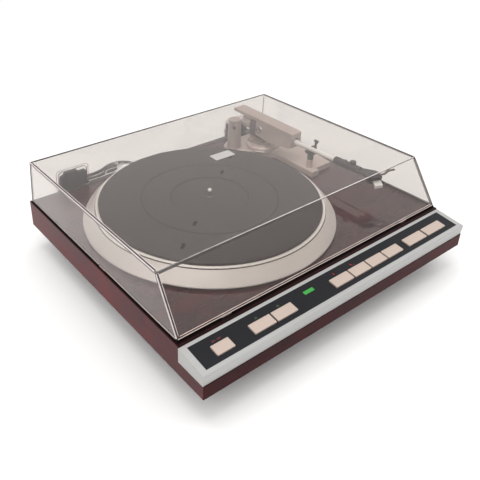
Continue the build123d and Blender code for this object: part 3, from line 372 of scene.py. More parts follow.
def mat_material():
    """Moulded rubber: fine concentric lines, matt bloom and a little dust; each slot is darkened as painted shade."""
    m = Mat("mat_rubber_fine")
    r, ang = m.radius(PX, PY)
    ribs = m.noise(m.vec(m.math("MULTIPLY", r, 420.0), m.math("MULTIPLY", ang, 0.4), 0.0), 1.0, 3.0, 0.6)
    x, y, _ = m.xyz(m.obj)
    dx, dy = m.math("SUBTRACT", x, PX), m.math("SUBTRACT", y, PY)
    u = m.math("ADD", m.math("MULTIPLY", dx, 0.803), m.math("MULTIPLY", dy, 0.596))
    w = m.math("SUBTRACT", m.math("MULTIPLY", dy, 0.803), m.math("MULTIPLY", dx, 0.596))
    # painted shade: each slot opening in the mat is coloured near-black, reaching a little past the cut slot, and loses
    # most specular and sheen
    slot_shade = None
    for mid in SLOT_MIDS:
        near = m.math("COMPARE", u, mid, SLOT_HALF)
        slot_shade = near if slot_shade is None else m.math("MAXIMUM", slot_shade, near)
    slot_shade = m.math("MULTIPLY", slot_shade, m.math("COMPARE", w, 0.0, SLOT_WIDE))
    lines = m.math("MAXIMUM", m.math("COMPARE", r, 0.0900, 0.0008), m.math("COMPARE", r, 0.0510, 0.0006))
    cloud = m.noise(m.obj, 22.0, 5.0, 0.6)
    grain = m.noise(m.obj, 1500.0, 2.0, 0.6)
    dust = m.range(m.voronoi(m.obj, 420.0), 0.0, 0.055, 1.0, 0.0)
    keep = m.range(m.noise(m.obj, 60.0, 2.0), 0.56, 0.62, 0.0, 1.0)
    dust = m.math("MULTIPLY", dust, keep, clamp=True)
    col = m.ramp(cloud, [(0.3, (0.044, 0.039, 0.039)), (0.7, (0.060, 0.053, 0.052))])
    col = m.mix(m.math("MULTIPLY", ribs, 0.10), col, (0.08, 0.08, 0.08))
    col = m.mix(dust, col, (0.30, 0.29, 0.28))
    col = m.mix(m.math("MULTIPLY", lines, 0.75), col, (0.010, 0.010, 0.012))
    col = m.mix(m.math("MULTIPLY", slot_shade, 0.95), col, (0.004, 0.004, 0.004))
    h = m.math("ADD", m.math("MULTIPLY", ribs, 0.4), m.math("MULTIPLY", grain, 0.4))
    m.set(base=col, rough=m.range(cloud, 0.3, 0.7, 0.60, 0.72), spec=m.range(slot_shade, 0.0, 1.0, 0.4, 0.02), sheen=m.range(slot_shade, 0.0, 1.0, 0.12, 0.0), sheen_rough=0.4)
    m.set(normal=m.bump(h, 0.00001, 0.35, m.bevel(0.0004)))
    return m.m


def lid_material():
    """Smoked acrylic, 3 mm thick: clear gloss with a brown tint that deepens along the edges."""
    m = Mat("smoked_acrylic")
    haze = m.noise(m.obj, 30.0, 4.0, 0.6)
    scratch = m.noise(m.mapping(m.obj, (3.0, 90.0, 90.0), (0, 0, 0), (0.2, 0.1, 0.7)), 14.0, 3.0, 0.7)
    r = m.range(m.math("ADD", haze, m.math("MULTIPLY", scratch, 0.3)), 0.55, 0.9, 0.0, 0.035)
    m.set(base=(0.985, 0.98, 0.975), rough=r, trans=1.0, ior=1.49)
    m.p.inputs["Specular Tint"].default_value = (1.0, 0.90, 0.89, 1.0)
    lp = m.n("ShaderNodeLightPath")
    clear = m.n("ShaderNodeBsdfTransparent")
    clear.inputs["Color"].default_value = (0.955, 0.95, 0.94, 1.0)
    mix = m.n("ShaderNodeMixShader")
    m.link(lp.outputs["Is Shadow Ray"], mix.inputs[0])
    m.link(m.p.outputs["BSDF"], mix.inputs[1])
    m.link(clear.outputs["BSDF"], mix.inputs[2])
    m.link(mix.outputs["Shader"], m.out.inputs["Surface"])
    vol = m.n("ShaderNodeVolumeAbsorption")
    vol.inputs["Color"].default_value = (0.50, 0.415, 0.36, 1.0)
    vol.inputs["Density"].default_value = 94.0
    m.link(vol.outputs["Volume"], m.out.inputs["Volume"])
    return m.m


def display_material():
    """Lit green window: bright field with two darker bars and a faint mesh."""
    m = Mat("display_lit")
    x, y, z = m.xyz(m.obj)
    u = m.range(x, -0.0562, -0.0403, 0.0, 1.0)
    bars = m.math("SINE", m.math("MULTIPLY", u, 2 * math.pi * 5.0))
    bars = m.range(bars, -0.2, 0.9, 1.0, 0.55)
    mesh = m.noise(m.obj, 2600.0, 2.0, 0.6)
    level = m.math("MULTIPLY", bars, m.range(mesh, 0.3, 0.7, 0.85, 1.1))
    side = m.math("MULTIPLY", m.range(u, 0.0, 0.06, 0.3, 1.0), m.range(u, 0.94, 1.0, 1.0, 0.3))
    level = m.math("MULTIPLY", level, side)
    col = m.ramp(level, [(0.2, (0.003, 0.035, 0.004)), (1.0, (0.035, 0.42, 0.050))])
    m.set(base=(0.01, 0.06, 0.012), rough=0.25, emit=col, emit_power=0.95, normal=m.bevel(0.0002))
    return m.m


def yoke_material():
    """Dark lacquer on a lighter foot, which shows in the lowest millimetres."""
    m = Mat("yoke_two_tone")
    n = m.noise(m.obj, 60.0, 4.0, 0.6)
    g = m.noise(m.obj, 1400.0, 2.0, 0.6)
    _, _, z = m.xyz(m.obj)
    dark = m.ramp(n, [(0.3, (0.115, 0.088, 0.083)), (0.7, (0.155, 0.120, 0.112))])
    foot = m.ramp(n, [(0.3, (0.34, 0.275, 0.250)), (0.7, (0.42, 0.345, 0.315))])
    col = m.mix(m.range(z, 0.0958, 0.0964, 1.0, 0.0), dark, foot)
    nb = m.bevel(0.0005)
    e = m.math("MULTIPLY", m.edge(nb), m.range(n, 0.35, 0.6, 0.1, 0.45), clamp=True)
    col = m.mix(e, col, (0.42, 0.35, 0.33))
    m.set(base=col, rough=m.range(n, 0.3, 0.7, 0.38, 0.48), metal=0.25)
    m.set(normal=m.bump(g, 0.000008, 0.4, nb))
    return m.m


def lamp_material():
    m = Mat("lamp_red")
    n = m.noise(m.obj, 1800.0, 2.0)
    col = m.ramp(n, [(0.3, (0.30, 0.008, 0.005)), (0.7, (0.46, 0.018, 0.010))])
    m.set(base=col, rough=0.25, coat=0.3, coat_rough=0.1, emit=col, emit_power=0.25, normal=m.bevel(0.0003))
    return m.m


def speckled(name, base, speck, rough, scale, share, metal=0.0, bevel=0.0005, spec=0.5):
    """Fine two-tone grain, for textured paint, rubber and board."""
    m = Mat(name)
    v = m.voronoi(m.obj, scale)
    cloud = m.noise(m.obj, 18.0, 3.0)
    mask = m.range(v, share, share + 0.12, 1.0, 0.0)
    c = m.ramp(cloud, [(0.3, shade(base, 0.88)), (0.7, shade(base, 1.12))])
    col = m.mix(m.math("MULTIPLY", mask, 0.5), c, speck)
    m.set(base=col, rough=m.range(cloud, 0.3, 0.7, rough - 0.05, rough + 0.05), metal=metal, spec=spec)
    m.set(normal=m.bump(v, 0.00003, 0.7, m.bevel(bevel)))
    return m.m


def board_material():
    m = Mat("board_tracks")
    x, y, z = m.xyz(m.obj)
    tracks = m.noise(m.mapping(m.obj, (220.0, 40.0, 1.0)), 1.0, 2.0, 0.4)
    mask = m.range(tracks, 0.50, 0.53, 0.0, 1.0)
    col = m.mix(mask, (0.20, 0.115, 0.042), (0.11, 0.10, 0.028))
    col = m.mix(m.math("MULTIPLY", m.noise(m.obj, 700.0, 2.0), 0.25), col, (0.34, 0.24, 0.12))
    m.set(base=col, rough=0.55, normal=m.bump(mask, 0.00004, 1.0, m.bevel(0.0003)))
    return m.m


def card_material():
    m = Mat("card_paper")
    fib = m.noise(m.mapping(m.obj, (1.0, 2.5, 1.0)), 900.0, 4.0, 0.7)
    cloud = m.noise(m.obj, 40.0, 3.0)
    nb = m.bevel(0.0003)
    col = m.ramp(m.math("ADD", m.math("MULTIPLY", fib, 0.4), m.math("MULTIPLY", cloud, 0.6)),
                 [(0.3, (0.63, 0.64, 0.65)), (0.7, (0.72, 0.73, 0.74))])
    m.set(base=col, rough=0.72, normal=m.bump(fib, 0.00002, 0.6, nb))
    return m.m


def cord_material(name="cord_sheath"):
    m = Mat(name)
    n = m.noise(m.obj, 320.0, 4.0, 0.6)
    c = m.noise(m.obj, 25.0, 3.0)
    col = m.ramp(c, [(0.3, (0.050, 0.047, 0.046)), (0.7, (0.078, 0.073, 0.070))])
    m.set(base=col, rough=m.range(n, 0.3, 0.7, 0.42, 0.56), normal=m.bump(n, 0.00003, 0.6))
    return m.m


CHAMP = (0.64, 0.545, 0.505)
MATS = {
    "wood_frame": wood_material("wood_frame", True),
    "wood_deck": wood_material("wood_deck", False),
    "silver": brushed("panel_satin", (0.425, 0.423, 0.416), 0.42, 0.25, 0, bevel=0.0004),
    "fascia": speckled("fascia_gloss", (0.0085, 0.0090, 0.0120), (0.022, 0.023, 0.028), 0.40, 1500.0, 0.12, bevel=0.0002, spec=0.2),
    "key": brushed("key_champagne", (0.520, 0.420, 0.362), 0.44, 0.15, 0, vary=0.035, lines=1000.0, bevel=0.0002, wear_and_highlight=0.3),
    "display": display_material(),
    "lamp": lamp_material(),
    "platter": platter_material(),
    "mat": mat_material(),
    "card": card_material(),
    "steel": finish("steel_ground", (0.70, 0.68, 0.66), 0.24, 0.95, grain=1800.0, bevel=0.0003, rough_vary=0.05),
    "champagne": finish("champagne_satin", CHAMP, 0.40, 0.30, grain=1500.0, grain_depth=0.000008, vary=0.05, bevel=0.0007, wear_and_highlight=0.35, wear_and_highlight_to=(0.72, 0.64, 0.58)),
    "champagne_cover": finish("champagne_cover", (0.53, 0.435, 0.395), 0.38, 0.30, grain=1600.0, grain_depth=0.000008, vary=0.04, bevel=0.0006, wear_and_highlight=0.3, wear_and_highlight_to=(0.70, 0.61, 0.55)),
    "dark": finish("dark_lacquer", (0.060, 0.050, 0.048), 0.40, 0.25, grain=1400.0, vary=0.12, bevel=0.0005, wear_and_highlight=0.3, wear_and_highlight_to=(0.22, 0.19, 0.18)),
    "pillar": finish("pillar_satin", (0.47, 0.39, 0.36), 0.42, 0.25, grain=1500.0, grain_depth=0.000008, vary=0.05, bevel=0.0006, wear_and_highlight=0.3, wear_and_highlight_to=(0.66, 0.58, 0.53)),
    "yoke": yoke_material(),
    # base plate: its strongly lightened edges are a painted edge highlight
    "plate": finish("plate_satin_edge_highlight", CHAMP, 0.40, 0.30, grain=1500.0, grain_depth=0.000008, vary=0.05, bevel=0.0011, wear_and_highlight=0.95, wear_and_highlight_to=(0.93, 0.86, 0.81)),
    "lift": finish("lift_dark", (0.17, 0.145, 0.14), 0.30, 0.5, grain=1500.0, vary=0.08, bevel=0.0003),
    "bright": finish("bright_chrome", (0.86, 0.84, 0.82), 0.16, 1.0, grain=1800.0, grain_depth=0.000004, vary=0.03, bevel=0.0003, rough_vary=0.04),
    "tube": finish("tube_satin", (0.88, 0.86, 0.84), 0.36, 0.05, grain=1500.0, grain_depth=0.000005, vary=0.04, bevel=0.0003),
    "plastic": finish("black_moulded", (0.026, 0.025, 0.026), 0.42, 0.0, grain=1200.0, vary=0.12, bevel=0.0004, wear_and_highlight=0.2, wear_and_highlight_to=(0.08, 0.08, 0.08)),
    "head": finish("head_black", (0.040, 0.034, 0.034), 0.34, 0.2, grain=1500.0, vary=0.12, bevel=0.0004, wear_and_highlight=0.35, wear_and_highlight_to=(0.20, 0.18, 0.17)),
    "guard": finish("guard_pale", (0.82, 0.81, 0.79), 0.3, 0.0, coat=0.3, grain=1200.0, vary=0.08, bevel=0.0003),
    "hinge": speckled("hinge_black", (0.030, 0.030, 0.031), (0.05, 0.05, 0.05), 0.48, 1400.0, 0.2, bevel=0.0007),
    "rubber": speckled("foot_rubber_fine", (0.020, 0.020, 0.020), (0.04, 0.04, 0.04), 0.75, 1600.0, 0.2),
    "pan": speckled("pan_paint", (0.024, 0.024, 0.026), (0.05, 0.05, 0.052), 0.55, 1100.0, 0.22),
    "board": board_material(),
    "magnet": speckled("magnet_ferrite", (0.055, 0.053, 0.052), (0.1, 0.1, 0.1), 0.6, 1200.0, 0.2),
    "motor": finish("motor_zinc", (0.50, 0.49, 0.46), 0.36, 0.85, grain=900.0, vary=0.1, bevel=0.0006),
    "transformer": speckled("transformer_steel", (0.085, 0.085, 0.09), (0.17, 0.17, 0.17), 0.5, 700.0, 0.2, metal=0.4),
    "bumper": finish("bumper_clear", (0.42, 0.38, 0.34), 0.35, 0.0, coat=0.2, grain=900.0, vary=0.06, bevel=0.0006),
    "socket": speckled("socket_black", (0.028, 0.028, 0.029), (0.05, 0.05, 0.05), 0.5, 1300.0, 0.2),
    "cord": cord_material(),
    "plug": finish("plug_moulded", (0.070, 0.066, 0.064), 0.50, 0.0, grain=1200.0, grain_depth=0.00002, vary=0.08, bevel=0.0003),
    "brass": finish("blade_brass", (0.72, 0.62, 0.42), 0.30, 0.9, grain=1400.0, vary=0.06, bevel=0.0002),
    "nickel": finish("socket_nickel", (0.72, 0.70, 0.66), 0.24, 0.95, grain=1400.0, vary=0.05, bevel=0.0002),
    "lid": lid_material(),
}

NODE_MAT = {
    "plinth_frame": "wood_frame", "deck_board": "wood_deck", "bottom_pan": "pan", "feet": "rubber",
    "panel_bar": "silver", "panel_fascia": "fascia", "display_window": "display", "indicator_leds": "lamp",
    "switch_board": "board", "platter": "platter", "platter_mat": "mat", "mat_label": "card",
    "spindle": "steel", "rotor_magnet": "magnet", "motor_base": "motor", "motor_stator": "motor",
    "transformer": "transformer", "main_board": "board", "arm_base_plate": "plate",
    "arm_pillar": "pillar", "arm_turret": "champagne", "arm_yoke": "yoke", "pivot_pins": "steel",
    "arm_cover": "champagne_cover", "pivot_rings": "bright", "arm_core": "tube", "arm_tube": "tube",
    "counterweight": "champagne", "headshell_sleeve": "head", "headshell_knob": "head", "headshell": "head",
    "finger_lift": "lift", "cartridge": "plastic", "stylus_guard": "guard", "rest_post": "champagne",
    "rest_cradle": "dark", "rest_clip": "dark", "lift_pin": "steel", "lid": "lid", "lid_bumpers": "bumper",
    "hinge_base_left": "hinge", "hinge_base_right": "hinge", "hinge_leaf_left": "hinge",
    "hinge_leaf_right": "hinge", "hinge_pins": "steel", "socket_plate": "socket", "strain_relief": "plug",
    "mains_cord": "cord", "mains_cord_tail": "cord", "cord_coil": "cord", "mains_plug": "plug",
}
for name, o in nodes.items():
    key = "key" if name.startswith("button_") else NODE_MAT[name]
    if not o.material_slots:
        o.data.materials.append(MATS[key])
    for s in o.material_slots:
        s.material = MATS[key]


# --------------------------------------------------------------- mesh tools
def add(name, data, material, body, smooth=True):
    o = bpy.data.objects.new(name, data)
    bpy.context.scene.collection.objects.link(o)
    if not data.materials:
        data.materials.append(MATS[material])
    if smooth and isinstance(data, bpy.types.Mesh):
        data.polygons.foreach_set("use_smooth", [True] * len(data.polygons))
    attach(o, body)
    return o


def sharpen(o, angle=40.0):
    """Hard shading edges where faces meet at more than this angle."""
    bm = bmesh.new()
    bm.from_mesh(o.data)
    for e in bm.edges:
        if len(e.link_faces) == 2 and e.calc_face_angle(0) > math.radians(angle):
            e.smooth = False
    bm.to_mesh(o.data)
    bm.free()
    return o


def axes_for(direction, up=Vector((0, 0, 1))):
    d = Vector(direction).normalized()
    x = up.cross(d)
    if x.length < 1e-4:
        x = Vector((1, 0, 0))
    x.normalize()
    return x, d.cross(x).normalized(), d


def lathe(name, profile, origin, direction, material, body, n=64, knurl=None, angle=40.0, closed=False):
    """Closed turned part: profile of (radius, height) along the direction. knurl = (first, last, teeth, depth)."""
    x, y, d = axes_for(direction)
    o = Vector(origin)
    bm = bmesh.new()
    rings = []
    for i, (r, h) in enumerate(profile):
        if r <= 1e-9:
            rings.append([bm.verts.new(o + d * h)])
            continue
        ring = []
        for k in range(n):
            a = 2 * math.pi * k / n
            rr = r
            if knurl and knurl[0] <= i <= knurl[1]:
                rr = r - knurl[3] * (0.5 - 0.5 * math.cos(a * knurl[2]))
            ring.append(bm.verts.new(o + d * h + (x * math.cos(a) + y * math.sin(a)) * rr))
        rings.append(ring)
    for a, b in zip(rings, rings[1:] + ([rings[0]] if closed else [])):
        for k in range(n):
            k2 = (k + 1) % n
            if len(a) == 1 and len(b) == 1:
                continue
            if len(a) == 1:
                bm.faces.new((a[0], b[k2], b[k]))
            elif len(b) == 1:
                bm.faces.new((a[k], a[k2], b[0]))
            else:
                bm.faces.new((a[k], a[k2], b[k2], b[k]))
    if len(rings[0]) > 1 and len(rings[-1]) > 1 and not closed:
        bm.faces.new(list(reversed(rings[0])))
        bm.faces.new(rings[-1])
    bmesh.ops.recalc_face_normals(bm, faces=bm.faces)
    me = bpy.data.meshes.new(name)
    bm.to_mesh(me)
    bm.free()
    return sharpen(add(name, me, material, body), angle)


def skin(name, sections, material, body, angle=35.0):
    """Closed skin through a row of rings with equal point counts."""
    bm = bmesh.new()
    rings = [[bm.verts.new(p) for p in s] for s in sections]
    n = len(rings[0])
    for a, b in zip(rings, rings[1:]):
        for k in range(n):
            k2 = (k + 1) % n
            bm.faces.new((a[k], a[k2], b[k2], b[k]))
    bm.faces.new(list(reversed(rings[0])))
    bm.faces.new(rings[-1])
    bmesh.ops.recalc_face_normals(bm, faces=bm.faces)
    me = bpy.data.meshes.new(name)
    bm.to_mesh(me)
    bm.free()
    return sharpen(add(name, me, material, body), angle)


def oval(origin, x, y, a, b, power=4.0, n=40):
    """Superellipse ring: half width a along x, half height b along y."""
    out = []
    for k in range(n):
        t = 2 * math.pi * k / n
        c, s = math.cos(t), math.sin(t)
        out.append(
            origin
            + x * (a * math.copysign(abs(c) ** (2 / power), c))
            + y * (b * math.copysign(abs(s) ** (2 / power), s))
        )
    return out


def flat_shape(name, loops, thickness, matrix, material, body, bevel=0.0):
    """Flat plate with holes from closed outlines, placed by a matrix; its middle plane is local z = 0."""
    cu = bpy.data.curves.new(name, "CURVE")
    cu.dimensions = "2D"
    cu.fill_mode = "BOTH"
    cu.extrude = thickness / 2 - bevel
    cu.bevel_depth = bevel
    cu.bevel_resolution = 1
    for loop in loops:
        sp = cu.splines.new("POLY")
        sp.points.add(len(loop) - 1)
        for p, (u, v) in zip(sp.points, loop):
            p.co = (u, v, 0, 1)
        sp.use_cyclic_u = True
    tmp = bpy.data.objects.new(name + "_tmp", cu)
    bpy.context.scene.collection.objects.link(tmp)
    bpy.context.view_layer.update()
    me = bpy.data.meshes.new_from_object(tmp.evaluated_get(bpy.context.evaluated_depsgraph_get()))
    bpy.data.objects.remove(tmp)
    bpy.data.curves.remove(cu)
    me.name = name
    me.transform(matrix)
    bm = bmesh.new()
    bm.from_mesh(me)
    bmesh.ops.remove_doubles(bm, verts=bm.verts, dist=1e-7)
    bmesh.ops.recalc_face_normals(bm, faces=bm.faces)
    bm.to_mesh(me)
    bm.free()
    me.materials.clear()
    me.materials.append(MATS[material])
    return sharpen(add(name, me, material, body), 30.0)


def frame_of(origin, x, y, z):
    m = Matrix((Vector(x), Vector(y), Vector(z))).transposed().to_4x4()
    return Matrix.Translation(Vector(origin)) @ m


# --------------------------------------------------------------- mains cord
CORD_D = 0.0048
CORD_ROUTE = [
    (-100.0, 208.0, 48.0), (-100.0, 221.0, 48.0), (-100.8, 236.0, 41.5), (-102.8, 249.5, 25.0),
    (-105.5, 263.0, 10.2), (-108.0, 281.0, 3.2), (-108.5, 301.0, 2.6), (-98.5, 319.5, 2.6),
    (-79.0, 331.2, 2.6), (-54.5, 330.2, 2.6), (-32.5, 332.6, 2.6), (-11.0, 344.4, 2.6),
    (11.5, 343.4, 2.6), (27.5, 327.5, 2.6), (33.5, 304.5, 2.6), (32.0, 277.0, 2.6),
    (23.0, 251.0, 2.6), (5.0, 230.0, 2.6), (-20.5, 218.4, 2.6), (-43.5, 219.8, 2.6),
    (-62.0, 218.8, 2.6),
]
COIL = (-62.0, 252.0)
SLOTS = [
    (33.2, 2.6), (28.4, 2.6), (23.6, 2.6), (23.6, 7.4), (23.6, 12.2),
    (28.4, 12.2), (28.4, 7.4), (33.2, 7.4), (33.2, 12.2),
]
TAIL_ROUTE = [
    (-95.2, 252.0, 12.2), (-95.4, 265.0, 11.4), (-97.0, 281.0, 6.6), (-93.8, 297.5, 2.9),
    (-83.5, 311.0, 2.6), (-67.0, 319.4, 2.6), (-50.5, 317.8, 2.7), (-39.6, 318.0, 3.2),
    (-29.5, 321.2, 4.1),
]


def coil_points():
    """Turns of the tied coil, from its front edge clockwise to its left edge."""
    pts = []
    step = 18.0
    phi = step
    while phi < 2610.0 - step / 2:
        r, z = SLOTS[0]
        for k in range(1, len(SLOTS)):
            start = 290.0 + 310.0 * (k - 1)
            t = min(1.0, max(0.0, (phi - start) / 50.0))
            t = t * t * (3 - 2 * t)
            r += (SLOTS[k][0] - SLOTS[k - 1][0]) * t
            z += (SLOTS[k][1] - SLOTS[k - 1][1]) * t
        a = math.radians(270.0 - phi)
        r *= 1.008
        pts.append((COIL[0] + r * math.cos(a), COIL[1] + r * math.sin(a), z))
        phi += step
    return pts


cu = bpy.data.curves.new("mains_lead", "CURVE")
cu.dimensions = "3D"
cu.bevel_depth = CORD_D / 2
cu.bevel_resolution = 5
cu.resolution_u = 6
cu.use_fill_caps = True
route = CORD_ROUTE + coil_points() + TAIL_ROUTE
sp = cu.splines.new("NURBS")
sp.points.add(len(route) - 1)
for p, (x, y, z) in zip(sp.points, route):
    p.co = (x * MM, y * MM, z * MM, 1.0)
sp.order_u = 3
sp.use_endpoint_u = True
lead = bpy.data.objects.new("mains_lead", cu)
bpy.context.scene.collection.objects.link(lead)
cu.materials.append(MATS["cord"])
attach(lead, "plinth")
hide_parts("mains_cord", "cord_coil", "mains_cord_tail")

# moulded plug: ribbed sleeve, flared grip and two flat blades
t8, t7 = Vector(TAIL_ROUTE[-1]) * MM, Vector(TAIL_ROUTE[-2]) * MM
ph = t8 - t7
ph.z = 0
ph.normalize()
px_ = Vector((ph.y, -ph.x, 0))
UP = Vector((0, 0, 1))
secs = []


def plug_ring(d, a, b, dz, power):
    secs.append(oval(t8 + ph * d * MM + UP * dz * MM, px_, UP, a * MM, b * MM, power))


plug_ring(-0.6, 2.7, 2.7, -0.10, 2.0)
d = 0.0
while d < 8.0:
    k = d / 8.0
    a = 3.1 + 1.5 * k
    b = 3.1 + 0.95 * k
    dz = 1.2 * k
    plug_ring(d + 0.10, a, b, dz, 2.0 + k)
    plug_ring(d + 0.85, a + 0.1, b + 0.1, dz + 0.1, 2.0 + k)
    plug_ring(d + 1.00, a - 0.5, b - 0.5, dz + 0.1, 2.0 + k)
    plug_ring(d + 1.50, a - 0.5, b - 0.5, dz + 0.15, 2.0 + k)
    d += 1.6
for dd, a, b, dz in (
    (8.2, 4.7, 4.05, 1.25), (9.2, 5.2, 4.4, 1.4), (10.6, 6.3, 4.9, 1.6), (12.0, 7.35, 5.3, 1.8),
    (13.2, 7.75, 5.5, 1.9), (16.0, 7.5, 5.35, 1.9), (18.0, 7.35, 5.25, 1.9), (20.0, 7.5, 5.35, 1.9),
    (22.0, 7.75, 5.5, 1.9), (22.7, 7.6, 5.35, 1.9), (23.0, 7.2, 5.0, 1.9),
):
    plug_ring(dd, a, b, dz, 4.5)
plug = skin("plug_body", secs, "plug", "plinth", 28.0)
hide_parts("mains_plug")
for side in (-1, 1):
    c = t8 + ph * 22.0 * MM + UP * 1.9 * MM + px_ * side * 5.6 * MM
    out = [(0.0, -3.15), (15.2, -3.15), (17.0, -1.5), (17.0, 1.5), (15.2, 3.15), (0.0, 3.15)]
    hole = [(13.2 + 1.5 * math.cos(t * math.pi / 8), 1.5 * math.sin(t * math.pi / 8)) for t in range(16)]
    b = flat_shape(
        "plug_blade_%s" % ("left" if side < 0 else "right"),
        [[(u * MM, v * MM) for u, v in out], [(u * MM, v * MM) for u, v in hole]],
        0.0015,
        frame_of(c, ph, UP, ph.cross(UP)),
        "nickel",
        "plinth",
        0.0002,
    )

# tie around the coil's bundle, with its twisted end
ta = math.radians(20.0)
tc = Vector((COIL[0] + 28.4 * math.cos(ta), COIL[1] + 28.4 * math.sin(ta), 7.4)) * MM
tr = Vector((math.cos(ta), math.sin(ta), 0))
tt = Vector((-math.sin(ta), math.cos(ta), 0))
ring_out, ring_in = [], []
secs = []
for off, grow in ((-1.9, 0.0), (-1.7, 0.45), (1.7, 0.45), (1.9, 0.0)):
    o_ = tc + tt * off * MM
    secs.append([p for p in oval(o_, tr, UP, (7.25 + grow) * MM, (7.15 + min(grow, 0.02)) * MM, 5.0, 48)])
tie = skin("coil_tie", secs, "plug", "plinth", 30.0)
twist = []
base = tc + tr * 7.5 * MM + UP * 1.0 * MM
for i in range(9):
    k = i / 8
    c = base + tr * (k * 4.5 * MM) + UP * (1.5 * k * MM) + tt * (math.sin(k * 6.0) * 0.8 * MM)
    xx = tt * math.cos(k * 5.0) + UP * math.sin(k * 5.0)
    yy = UP * math.cos(k * 5.0) - tt * math.sin(k * 5.0)
    twist.append(oval(c, xx, yy, 1.5 * MM * (1.0 - 0.3 * k), 0.55 * MM, 3.0, 16))
tie_end = skin("coil_tie_end", twist, "plug", "plinth", 40.0)

# ribbed sleeve where the cord leaves the plinth
lo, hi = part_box("strain_relief")
prof = [(0.0, 0.0)]
y0, y1 = lo.y, hi.y
L_ = y1 - y0
rmax = (hi.x - lo.x) / 2
prof += [(rmax - 0.0002, 0.0), (rmax, 0.0003), (rmax, 0.0016), (rmax - 0.0004, 0.0021), (rmax * 0.80, 0.0022)]
h = 0.0030
while h < L_ - 0.0022:
    k = (h - 0.003) / (L_ - 0.005)
    r = rmax * 0.80 * (1 - k) + 0.0033 * k
    prof += [(r, h), (r - 0.00005, h + 0.0012), (r - 0.0007, h + 0.0013), (r - 0.0007, h + 0.0019)]
    h += 0.0020
prof += [(0.0032, L_ - 0.0008), (0.0029, L_), (0.0, L_)]
relief = lathe("relief_sleeve", prof, ((lo.x + hi.x) / 2, y0, (lo.z + hi.z) / 2), (0, 1, 0), "plug", "plinth", 48)
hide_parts("strain_relief")

# ------------------------------------------------------------ floor and light
floor_mesh = bpy.data.meshes.new("floor")
bm = bmesh.new()
bmesh.ops.create_grid(bm, x_segments=8, y_segments=8, size=9.0)
bm.to_mesh(floor_mesh)
bm.free()
floor = bpy.data.objects.new("floor", floor_mesh)
bpy.context.scene.collection.objects.link(floor)
fm = Mat("floor_pale")
fn = fm.noise(fm.obj, 3.0, 3.0)
fm.set(base=fm.ramp(fn, [(0.3, (0.965, 0.962, 0.958)), (0.7, (0.975, 0.973, 0.970))]), rough=0.9, spec=0.1)
floor_mesh.materials.append(fm.m)
floor.location.z = -0.0002

world = bpy.data.worlds.new("studio")
world.use_nodes = True
bg = world.node_tree.nodes["Background"]
bg.inputs["Color"].default_value = (1.0, 0.995, 0.985, 1.0)
bg.inputs["Strength"].default_value = 0.86
bpy.context.scene.world = world


def area(name, loc, target, size, power, color=(1, 1, 1)):
    ld = bpy.data.lights.new(name, "AREA")
    ld.shape = "RECTANGLE"
    ld.size, ld.size_y = size
    ld.energy = power
    ld.color = color
    lo_ = bpy.data.objects.new(name, ld)
    bpy.context.scene.collection.objects.link(lo_)
    lo_.location = loc
    lo_.rotation_euler = (Vector(target) - Vector(loc)).to_track_quat("-Z", "Y").to_euler()
    return lo_


area("key_light", (-1.7, -0.9, 1.9), (0, 0, 0.05), (1.6, 1.2), 10.0)
area("side_light", (1.8, -0.6, 1.9), (0, 0, 0.05), (1.4, 1.2), 8.0)
area("top_light", (-0.3, 0.1, 2.2), (0, 0, 0.05), (1.4, 1.4), 16.0)

# --------------------------------------------------------- edges of the lid
def edge_acrylic(name, low_col, high_col, clear_low, clear_high, along=0.0, fade=None):
    """Glossy, slightly see-through coloured band for the lid: pale ones are painted highlights and dark ones painted
    shade, standing in for the light the acrylic's edges catch and the shade along them; also used for the smoked pane.
    """
    m = Mat(name)
    n = m.noise(m.obj, 90.0, 4.0, 0.6)
    col = m.ramp(n, [(0.3, low_col), (0.7, high_col)])
    m.set(base=col, rough=m.range(n, 0.3, 0.7, 0.14, 0.24), coat=0.5, coat_rough=0.05)
    clear = m.n("ShaderNodeBsdfTransparent")
    mix = m.n("ShaderNodeMixShader")
    see = m.range(n, 0.3, 0.7, clear_high, clear_low)
    if along:
        x, _, _ = m.xyz(m.obj)
        see = m.math("ADD", see, m.range(x, -0.21, 0.03, along, 0.0), clamp=True)
        see = m.math("ADD", see, m.range(x, 0.168, 0.182, 0.0, 0.20), clamp=True)
    if fade:
        x, _, _ = m.xyz(m.obj)
        see = m.math("ADD", see, m.range(x, fade[0], fade[1], 0.0, 1.0), clamp=True)
    m.link(see, mix.inputs[0])
    m.link(m.p.outputs["BSDF"], mix.inputs[1])
    m.link(clear.outputs["BSDF"], mix.inputs[2])
    m.link(mix.outputs["Shader"], m.out.inputs["Surface"])
    return m.m


# painted highlights (pale) and painted shade (dark) for the lid's edges; the pane closes the hinge openings
MATS["edge"] = edge_acrylic("edge_painted_highlight", (0.80, 0.70, 0.69), (0.93, 0.85, 0.83), 0.30, 0.42)
MATS["edge_front"] = edge_acrylic("edge_front_painted_highlight", (0.80, 0.74, 0.73), (0.95, 0.90, 0.88), 0.34, 0.46, 0.45)
MATS["edge_rim"] = edge_acrylic("edge_rim_painted_highlight", (0.78, 0.62, 0.56), (0.92, 0.76, 0.70), 0.22, 0.34)
MATS["edge_brown"] = edge_acrylic("edge_brown_painted_highlight", (0.24, 0.16, 0.12), (0.36, 0.26, 0.20), 0.15, 0.3)
MATS["edge_pink"] = edge_acrylic("edge_pink_painted_highlight", (0.34, 0.17, 0.17), (0.46, 0.26, 0.26), 0.2, 0.35)
MATS["edge_deep"] = edge_acrylic("edge_deep_painted_shade", (0.030, 0.020, 0.019), (0.055, 0.038, 0.036), 0.22, 0.34)
MATS["edge_shade"] = edge_acrylic("acrylic_edge_shade", (0.050, 0.046, 0.047), (0.085, 0.078, 0.080), 0.22, 0.36, 0.0, (-0.20, 0.07))
